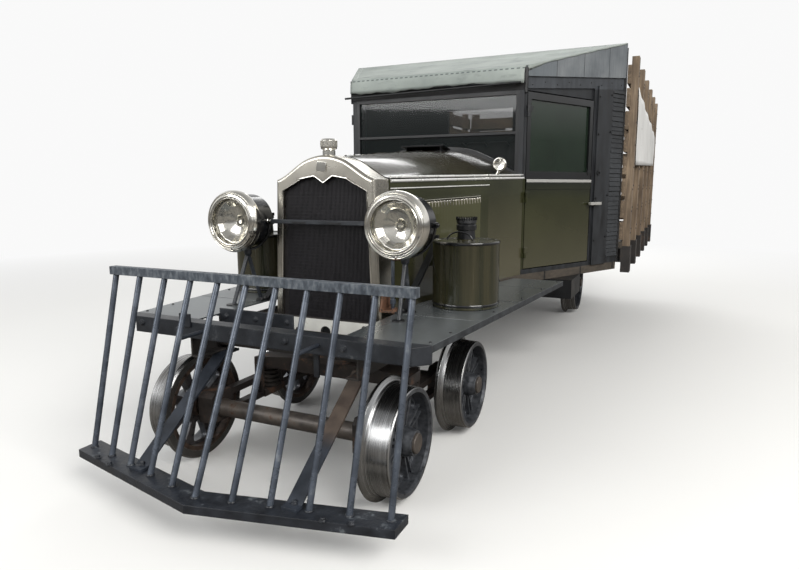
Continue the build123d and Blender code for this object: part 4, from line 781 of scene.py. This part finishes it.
for side, label in SIDES:
    center = at(side * LAMP_X, LAMP_FRONT, LAMP_Z)
    lens = Piece()
    rings = []
    for level in range(LENS_RINGS + 1):
        radius = (LENS_R - 0.0005) * level / LENS_RINGS
        dome = 0.004 * (1 - (radius / LENS_R) ** 2)
        ring = []
        for turn in turns(96):
            x = radius * cos(turn)
            flute = 0.0008 * abs(sin(x * 150.0))
            ring.append(center + Vector((x, 0.0035 - dome + flute, radius * sin(turn))))
        rings.append(lens.ring(ring) if level else lens.ring(ring[:1]) * len(ring))
    lens.skin(rings, False)
    lens.done("lamp_lens_" + label, "lens", solid=0.0016, smooth=80)
    bowl = Piece().lathe(BOWL, center, BACK, 15, False)
    bowl.done("lamp_bowl_" + label, "nickel_bright", solid=0.0006, smooth=12)
    Piece().lathe(BULB, center, BACK, 20).done("lamp_bulb_" + label, "lens", smooth=80)
    rim = Piece().lathe(RIM, center, BACK, 80, False)
    rim.done("lamp_rim_" + label, "nickel_bright", solid=0.0006, smooth=24)
    screw = Piece().lathe(SCREW, center + SCREW_PLACE, BACK, 12)
    screw.done("lamp_screw_" + label, "black", slot="lamp_black")
    fork = Piece().sweep(arc(center + FORK_BACK, FORK_R, FORK_R, 180, 360, 9), 0.0055)
    for ear in (1, -1):
        near, far = [center + FORK_BACK + Vector((ear * x, 0, 0)) for x in EAR]
        fork.bar(near, far, 0.0115, 16)
        fork.bolt(far, (ear, 0, 0), 0.008, 0.007)
    fork.done("lamp_fork_" + label, "black_gloss", slot="lamp_black", smooth=50)

# Painted shade: thin black plates stand for the slots' dark openings.
slots = Piece()
for x0, x1 in ((-0.139, -0.072), (0.037, 0.102)):
    slots.box(x0, x1, 0.2682, 0.2692, 0.9715, 0.9805)
slots.done("lamp_bar_slot_shade", "black")
nub = Piece()
nub.lathe([(0, 0.008), (0.010, 0.008), (0.012, 0.0055), (0.022, 0.0055), (0.024, 0.004)],
          at(-0.2735, 0.268, 0.981), (1, -0.15, 0), 16)
nub.done("lamp_bar_nub", "nickel_bright")

# Hood and scuttle: mouldings, louvres and small lamps. Deck: the tanks' trim
THIRDS = (0.33, 0.66)
BELT_RUNS = (([(0.4525, 1.203, 1.168), (0.500, 1.389, 1.171), (0.5445, 1.563, 1.174)], 0.0075, 0.0068),
             ([(0.447, 1.203, 1.184), (0.4945, 1.389, 1.1875), (0.539, 1.561, 1.191)], 0.0065, 0.0058))
TIP_LOW = ((0.004, -0.016, 0.0), (LOUVRE_PITCH * 0.5, -0.027, 0.0098),
           (LOUVRE_PITCH * 0.66, -0.024, 0.0))
TIP_HIGH = ((-0.001, 0.001, 0.0), (LOUVRE_PITCH * 0.5, 0.001, 0.0106),
            (LOUVRE_PITCH * 0.66, 0.001, 0.0))
COWL_LAMP = (0.487746, 1.262, 1.243)
COWL_RING = [(0.0002, 0.0262), (-0.003, 0.0275), (-0.004, 0.031), (-0.002, 0.0348), (0.004, 0.0365),
             (0.0105, 0.0368)]
COWL_GLASS = [(-0.0035, 0.0), (-0.0028, 0.010), (-0.001, 0.020), (0.0015, 0.0262), (0.004, 0.0262),
              (0.004, 0.0)]
TANK_X = 0.535
TANK_Y = 0.603
TANK_CAP_R = 0.0440

for side, label in SIDES:
    # The mouldings take the trim look: a painted highlight on olive beads.
    belt = hood_run((0.004, *THIRDS, 0.996), 1.1515, 0.0165, 0.0005, side)
    strip = Piece().sweep(belt, 0.0075, 0.0068, 12)
    for run, across, up in BELT_RUNS:
        strip.sweep([at(side * x, y, z) for x, y, z in run], across, up, 12)
    strip.done("belt_moulding_" + label, "trim", smooth=80)
    crest = hood_run((0.012, *THIRDS, 0.988), 1.1685, 0.0152, -0.006, side)
    bead = Piece().sweep(crest, 0.0068, 0.0058, 12)
    bead.done("lid_moulding_" + label, "trim", body=label + "_hood_lid", smooth=80)
    line = Piece().sweep(hood_run((0.0, 0.5, 1.0), 1.1195, 0.015, 0.0035, side), 0.0022, 0.0030, 8)
    line.done("thin_moulding_" + label, "trim", smooth=80)

    # Louvre tips and lip: the bright nickel is a painted highlight on olive edges.
    tips = Piece()
    for index in range(LOUVRES):
        s = LOUVRE_FIRST + index * LOUVRE_PITCH
        top = LOUVRE_TOP + LOUVRE_RISE * s
        tips.prism(*[[along_hood(s + shift, top + rise, out, side) for shift, rise, out in outline]
                     for outline in (TIP_LOW, TIP_HIGH)])
    tips.done("louvre_tips_" + label, "nickel_bright", slot="olive", bevel=0.0008)
    run = [along_hood(s, LOUVRE_TOP + LOUVRE_RISE * s + 0.0098, 0.0078, side) for s in (0.207, 0.45, 0.699)]
    lip_line = Piece().sweep(run, 0.0016, count=8)
    lip_line.done("louvre_lip_" + label, "nickel_bright", slot="olive", smooth=80)

    center = at(side * COWL_LAMP[0], *COWL_LAMP[1:])
    ring = Piece().lathe(COWL_RING, center, BACK, 36, False)
    ring.done("cowl_lamp_ring_" + label, "nickel_bright", smooth=50)
    Piece().lathe(COWL_GLASS, center, BACK, 28, False).done("cowl_lamp_glass_" + label, "lens", smooth=60)

    trim = Piece()
    for turn in turns(26):
        foot = at(side * TANK_X + TANK_CAP_R * cos(turn), TANK_Y + TANK_CAP_R * sin(turn), 0.984)
        trim.bar(foot, foot + Vector((0, 0, 0.014)), 0.0024, 6)
    for z, bead in ((0.884, ((0, 0.0008), (0.004, 0.0030), (0.009, 0.0030), (0.012, 0.0006))),
                    (0.622, ((0, 0.0006), (0.003, 0.0024), (0.008, 0.0024), (0.011, 0.0006)))):
        hoop = [(rise, TANK_R + out) for rise, out in bead]
        trim.lathe(hoop, at(side * TANK_X, TANK_Y, z), UP, 72, False)
    trim.done("tank_trim_" + label, "black_gloss", smooth=60)
    bail_foot = at(side * TANK_X, TANK_Y - 0.085, 0.902)
    bail = Piece().sweep(arc(bail_foot, 0.056, 0.036, 0, 180, 12), 0.0035, count=8)
    bail.done("tank_bail_" + label, "black_gloss", smooth=60)

# Roof canvas, header, filler and the door's and pillar's fittings
FLAP_ROWS = [(1.556, 1.787), (1.545, 1.783), (1.530, 1.768), (1.519, 1.748), (1.517, 1.712), (1.516, 1.695)]
FLAP_HALF = 0.545
FLAP_STEPS = 60
HEM_WAVES = ((0.006, 7.0, 0.6), (0.0035, 31.0, 0.0), (0.002, 83.0, 0.0))
LAP_LENGTH = 0.98
LAP_TOP = 1.7862
LAP_RISE = 0.2547
LAP_STEPS = 49
LAP_BOTTOM = [(0.0, 1.757), (0.03, 1.765), (0.144, 1.812), (0.496, 1.905), (LAP_LENGTH, 2.028)]
CORNER = [(0.5445, 1.540), (0.5585, 1.548), (0.5585, 1.566), (0.5445, 1.558)]
CORNER_LEAN = 0.005
NAIL_FIRST = 0.06
NAIL_PITCH = 0.112
HEADER_Z = 1.685
HEADER_RISE = 0.0914
ROD_Y = 1.503
ROD = [(-0.575, 1.667), (0.530, 1.690)]
PLANK_FRONT = 0.857
PLANK_REAR = 0.982
PLANK_FOOT = 0.664
PLANK_LAST = 1.725
PLANK_TOP = 1.735
random.seed(7)

rows = []
for level, (y, z) in enumerate(FLAP_ROWS):
    row = []
    for index in range(FLAP_STEPS + 1):
        x = -FLAP_HALF + 2 * FLAP_HALF * index / FLAP_STEPS
        wave = 0.0010 * sin(x * 21.0) + 0.0007 * sin(x * 47.0 + 1.0)
        fall = 0.0
        if level == len(FLAP_ROWS) - 1:
            fall = sum(depth * sin(x * rate + start) for depth, rate, start in HEM_WAVES)
        row.append(at(x, y + wave * level / 5, z + fall))
    rows.append(row)
flap_piece = Piece().grid(rows).done("roof_flap", "fabric", solid=0.002, smooth=60)

for side, label in SIDES:
    rows = []
    for index in range(LAP_STEPS + 1):
        s = LAP_LENGTH * index / LAP_STEPS
        top = LAP_TOP + LAP_RISE * s
        bottom = min(pick(LAP_BOTTOM, s) + 0.0015 * sin(s * 40.0), top - 0.004)
        outline = ((top + 0.0006, -0.030), (top + 0.0012, 0.004), (top - 0.0006, 0.0118),
                   ((top + bottom) / 2, 0.0122), (bottom, 0.0118))
        rows.append([on_side(s, z, t, side) for z, t in outline])
    lap_piece = Piece().grid(rows).done("roof_lap_" + label, "fabric", solid=0.0015, smooth=60)

    nails = Piece()
    for index in range(9):
        s = NAIL_FIRST + index * NAIL_PITCH
        z = HEADER_Z + HEADER_RISE * s + 0.014 * (index % 2)
        nails.rivet(on_side(s, z, 0.0, side), outward(side), 0.0045)
    nails.done("header_nails_" + label, "black", slot="black_board")
    corner = Piece().prism([at(side * x, y, 1.640) for x, y in CORNER],
                           [at(side * x, y - CORNER_LEAN, 1.776) for x, y in CORNER])
    corner.done("roof_corner_" + label, "black", slot="black_board", bevel=0.0025)

    planks = Piece()
    z = PLANK_FOOT
    while z < PLANK_LAST:
        tall = 0.024 + random.random() * 0.012
        front = PLANK_FRONT - random.random() * 0.005
        out = 0.004 + random.random() * 0.005
        top = min(z + tall - 0.002, PLANK_TOP)
        planks.prism(*[[on_side(s, height, t, side) for s, t in
                        ((front, 0.0), (front, thick), (PLANK_REAR, thick), (PLANK_REAR, 0.0))]
                       for height, thick in ((z, out + 0.004), (top, out))])
        z += tall
    planks.done("filler_planks_" + label, "filler", bevel=0.0008)

    hasp = Piece().prism(*[[on_side(s, z, t, side) for s, t in
                            ((0.618, -0.001), (0.618, 0.0035), (0.656, 0.0035), (0.656, -0.001))]
                           for z in (1.196, 1.224)])
    for s in (0.628, 0.646):
        hasp.rivet(on_side(s, 1.210, 0.0035, side), outward(side), 0.004)
    hasp.done("hasp_" + label, "black", body=label + "_door", bevel=0.0008)
    staple = Piece()
    staple.lathe([(0.0, 0.008), (0.004, 0.008), (0.004, 0.016), (0.0, 0.016), (0.0, 0.008)],
                 on_side(0.722, 1.210, 0.0122, side), outward(side), 20, False)
    for z in (0.78, 1.05, 1.45, 1.68):
        staple.bolt(on_side(0.705, z, 0.012, side), outward(side), 0.006, 0.005)
        staple.bolt(on_side(0.835, z + 0.02, 0.012, side), outward(side), 0.006, 0.005)
    staple.done("pillar_fittings_" + label, "black")

rod = Piece().bar(*[at(x, ROD_Y, z) for x, z in ROD], 0.006)
for x in (-0.50, 0.0, 0.49):
    z = pick(ROD, x)
    rod.box(x - 0.008, x + 0.008, ROD_Y, ROD_Y + 0.024, z - 0.003, z + 0.003)
rod.done("visor_rod", "black", slot="black_board", smooth=60)

# Front: transom, brackets, pipes and bolts
PIPE = (0.301, 0.350)
PILOT_HALF = 0.643
PILOT_FOOT_Z = 0.126
PILOT_NOSE = -0.528
PILOT_SWEEP = 0.143

front_irons = Piece()
front_irons.box(-0.335, 0.030, 0.010, 0.018, 0.556, 0.632)
front_irons.box(0.200, 0.222, -0.112, -0.104, 0.440, 0.547)
front_irons.box(-0.372, -0.318, -0.1785, -0.1705, 0.590, 0.643)
for x in (-0.30, -0.15, 0.0):
    front_irons.bolt(at(x, 0.010, 0.60), FORWARD, 0.008, 0.007)
for x, z in ((0.603, 0.590), (-0.387, 0.575), (0.36, 0.580), (-0.12, 0.580), (-0.58, 0.585), (0.12, 0.580)):
    front_irons.bolt(at(x, -0.170, z), FORWARD, 0.010, 0.009)
front_irons.done("front_irons", "beam", bevel=0.001)

foot_iron = Piece()
foot_iron.box(0.262, 0.345, 0.300, 0.395, DECK_TOP, 0.616)
foot_iron.prism(*[[at(x, y, z) for x, y in ((0.262, front), (0.270, front), (0.270, rear), (0.262, rear))]
                  for front, rear, z in ((0.300, 0.395, 0.615), (0.325, 0.375, 0.690))])
foot_iron.bolt(at(0.315, 0.325, 0.616), UP, 0.009, 0.008)
foot_iron.done("radiator_foot_left", "rust", bevel=0.0015)
pipe = Piece()
for z0, z1, radius in ((0.614, 0.860, 0.0075), (0.640, 0.660, 0.0125)):
    pipe.bar(at(*PIPE, z0), at(*PIPE, z1), radius, 14)
pipe.done("front_pipe", "pipe", smooth=60)

welds = Piece()
for index in range(11):
    x = PILOT_HALF * (index / 5 - 1)
    y = PILOT_NOSE + PILOT_SWEEP * abs(x) / PILOT_HALF
    welds.lathe([(0, 0.0150), (0.003, 0.0145), (0.0055, 0.0120)], at(x, y, PILOT_FOOT_Z + 0.0002), UP, 18)
welds.done("pilot_welds", "plate", smooth=40)
plate_bolts = Piece()
for side in (1, -1):
    for x, y, z in ((0.456, -0.474, 0.1262), (0.544, -0.452, 0.1262), (0.330, -0.438, 0.136)):
        plate_bolts.bolt(at(side * x, y, z), UP, 0.009, 0.012)
plate_bolts.done("plate_bolts", "plate", slot="worn_sheet")

deck_bolts = Piece()
seams = Piece()
for side in (1, -1):
    for y in (-0.08, 0.077, 0.497, 0.857, 1.157, 1.44):
        deck_bolts.rivet(at(side * (pick(DECK_EDGE, y) - 0.022), y, DECK_TOP), UP)
    for y in (0.312, 0.338):
        deck_bolts.bolt(at(side * 0.352, y, 0.618), UP, 0.009, 0.008)
    for x, y in ((0.407, 0.175), (0.379, 0.352)):
        deck_bolts.lathe([(0, 0.026), (0.004, 0.025), (0.005, 0.013)], at(side * x, y, DECK_TOP), UP, 20)
    for y, inner in ((0.300, 0.340), (0.760, 0.395), (1.180, 0.475)):
        outer = pick(DECK_EDGE, y) - 0.004
        seams.box(side * inner, side * outer, y, y + 0.030, DECK_TOP - 0.0002, DECK_TOP + 0.0012)
deck_bolts.done("deck_fastenings", "black", smooth=50)
seams.done("deck_seams", "sheet", bevel=0.0004)

# Freight body: rivets on the stakes and the plain banner
STAKE_FACE = 1.0573
SLAT_FIRST = 0.825
SLAT_PITCH = 0.1465
BANNER_X = 1.0624
BANNER_FRONT = ((2.510, 1.768), (2.638, 1.269))
BANNER_REAR = ((4.930, 1.620), (4.900, 1.330))
BANNER_LEVELS = 12
BANNER_STEPS = 80
STAKE_DIP = 0.0022
TOP_SAG = 0.010

rack_bolts = Piece()
for side in (1, -1):
    for index in range(STAKES):
        for row in range(8):
            for shift in (-0.022, 0.022):
                rack_bolts.rivet(at(side * STAKE_FACE, STAKE_FIRST + index * STAKE_PITCH + shift,
                                    SLAT_FIRST + row * SLAT_PITCH + shift * 0.6), (side, 0, 0), 0.0065)
rack_bolts.done("rack_bolts", "black", smooth=50)

rows = []
for level in range(BANNER_LEVELS + 1):
    fall = level / BANNER_LEVELS
    front, rear = [Vector(top).lerp(Vector(foot), fall) for top, foot in (BANNER_FRONT, BANNER_REAR)]
    row = []
    for index in range(BANNER_STEPS + 1):
        y, z = front.lerp(rear, index / BANNER_STEPS)
        free = 0.5 - 0.5 * cos((y - STAKE_FIRST) / STAKE_PITCH * tau)
        wave = 0.0016 * sin(y * 5.0 + fall * 4.0) + 0.0012 * sin(y * 11.0 - fall * 7.0)
        row.append(at(BANNER_X - STAKE_DIP * free + wave, y, z - TOP_SAG * free * (1 - fall)))
    rows.append(row)
banner_piece = Piece().grid(rows).done("side_banner", "cloth", solid=0.0012, smooth=60)

# Bench
BENCH_HALF = 0.558
PLEATS = 7
CHANNEL = 0.011
CHANNEL_DEPTH = 0.085
COLUMNS = 132
AROUND = 56


def cushion(name, y_range, z_range, sharp):
    """A crowned cushion: oval sections that pull in at the ends and at each sewn channel."""
    piece = Piece()
    y_mid, z_mid = sum(y_range) / 2, sum(z_range) / 2
    y_half, z_half = y_range[1] - y_mid, z_range[1] - z_mid
    rings = []
    for index in range(COLUMNS + 1):
        u = sin(pi * (index / COLUMNS - 0.5))
        reach = 0.55 + 0.45 * max(0.0, 1 - abs(u) ** 14) ** (1 / 7)
        seam = (u / 2 + 0.5) * PLEATS
        near = abs(seam - round(seam)) * 2 * BENCH_HALF / PLEATS
        dip = 0.0 if round(seam) in (0, PLEATS) else CHANNEL_DEPTH * exp(-(near / CHANNEL) ** 2)
        ring = []
        for turn in turns(AROUND):
            c, s = cos(turn), sin(turn)
            y = y_half * copysign(abs(c) ** sharp, c) * reach * (1 - dip * abs(c))
            z = z_half * copysign(abs(s) ** sharp, s) * reach * (1 - dip * 1.6 * abs(s))
            ring.append(at(BENCH_HALF * u, y_mid + y, z_mid + z))
        rings.append(piece.ring(ring))
    made = piece.skin(rings).done(name, "leather", smooth=70)
    return made


bench_cushion = cushion("bench_cushion", (1.886, 2.334), (0.8806, 1.0095), 0.42)
cushion("bench_back", (2.341, 2.434), (0.8806, 1.4395), 0.40)
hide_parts("seat")
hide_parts("headlamp_lenses")

# Floor, light, camera
BACKDROP_NEAR = 4.2
BACKDROP_FAR = 9.0
BACKDROP = 0.95
FLOOR_HALF = 60
SKY = [(0.0, 0.20), (0.07, 0.26), (0.13, 0.85), (0.35, 1.0), (0.6, 0.7), (0.95, 0.36)]
SKY_STRENGTH = 0.95
IMAGE_WIDTH = 799
FOCAL_PIXELS = 612.4
SENSOR = 36.0
CAMERA_PLACE = (1.395, -4.311, 1.153)
CAMERA_AZIMUTH = 24.95
CAMERA_DOWN = 9.14
CAMERA_ROLL = -0.14

floor_mesh = bpy.data.meshes.new("floor")
floor_corners = [(x * FLOOR_HALF, y * FLOOR_HALF, 0) for x, y in ((-1, -1), (1, -1), (1, 1), (-1, 1))]
floor_mesh.from_pydata(floor_corners, [], [(0, 1, 2, 3)])
floor = linked("floor", floor_mesh)
pale = Shader("floor_pale")
seen = pale.add("LightPath").outputs["Is Camera Ray"]
pale.set(pale.blend(seen, (120, 116, 110), (236, 236, 234)), 0.9)
glow = pale.add("Emission", {"Strength": BACKDROP})
away = pale.add("VectorMath", [pale.coords], operation="LENGTH").outputs["Value"]
fade = pale.times(pale.spread(away, 0.0, 1.0, BACKDROP_NEAR, BACKDROP_FAR), seen)
mixed = pale.add("MixShader", [fade, pale.bsdf.outputs[0], glow.outputs[0]])
pale.feed(pale.output.inputs["Surface"], mixed.outputs[0])
floor_mesh.materials.append(pale.material)

world = bpy.data.worlds.new("studio")
bpy.context.scene.world = world
world.use_nodes = True
studio = Nodes(world.node_tree)
ray = studio.add("SeparateXYZ", [studio.add("TexCoord").outputs["Generated"]])
levels = studio.stops(ray.outputs["Z"], [(place, (level, level, level, 1)) for place, level in SKY])
sky = studio.add("Background", [levels, SKY_STRENGTH])
white = studio.add("Background", [(1, 1, 1, 1), BACKDROP])
seen = studio.add("LightPath").outputs["Is Camera Ray"]
mixed = studio.add("MixShader", [seen, sky.outputs[0], white.outputs[0]])
studio.add("OutputWorld", [mixed.outputs[0]])


def softbox(name, place, target, size, power, color=(1, 1, 1)):
    data = bpy.data.lights.new(name, "AREA")
    data.shape = "RECTANGLE"
    data.size, data.size_y = size
    data.energy = power
    data.color = color
    lamp = linked(name, data)
    lamp.location = place
    lamp.rotation_euler = (Vector(target) - Vector(place)).to_track_quat("-Z", "Y").to_euler()


softbox("key", (6.0, -5.0, 5.5), (0, -1.0, 0.8), (5, 4), 560, (1.0, 0.98, 0.95))
softbox("front", (-3.5, -8.0, 4.0), (0, -2.0, 0.8), (5, 3), 240)
softbox("rear", (-2.0, 9.0, 6.0), (0, 1.5, 1.0), (6, 5), 420)

camera_data = bpy.data.cameras.new("camera")
camera_data.sensor_width = SENSOR
camera_data.lens = FOCAL_PIXELS / IMAGE_WIDTH * SENSOR
camera_data.clip_end = 300
camera = linked("camera", camera_data)
placed = Matrix.Translation(CAMERA_PLACE)
for degrees, axis in ((CAMERA_AZIMUTH, "Z"), (90 - CAMERA_DOWN, "X"), (CAMERA_ROLL, "Z")):
    placed = placed @ Matrix.Rotation(radians(degrees), 4, axis)
camera.matrix_world = placed
bpy.context.scene.camera = camera
bpy.context.scene.view_settings.view_transform = "Standard"
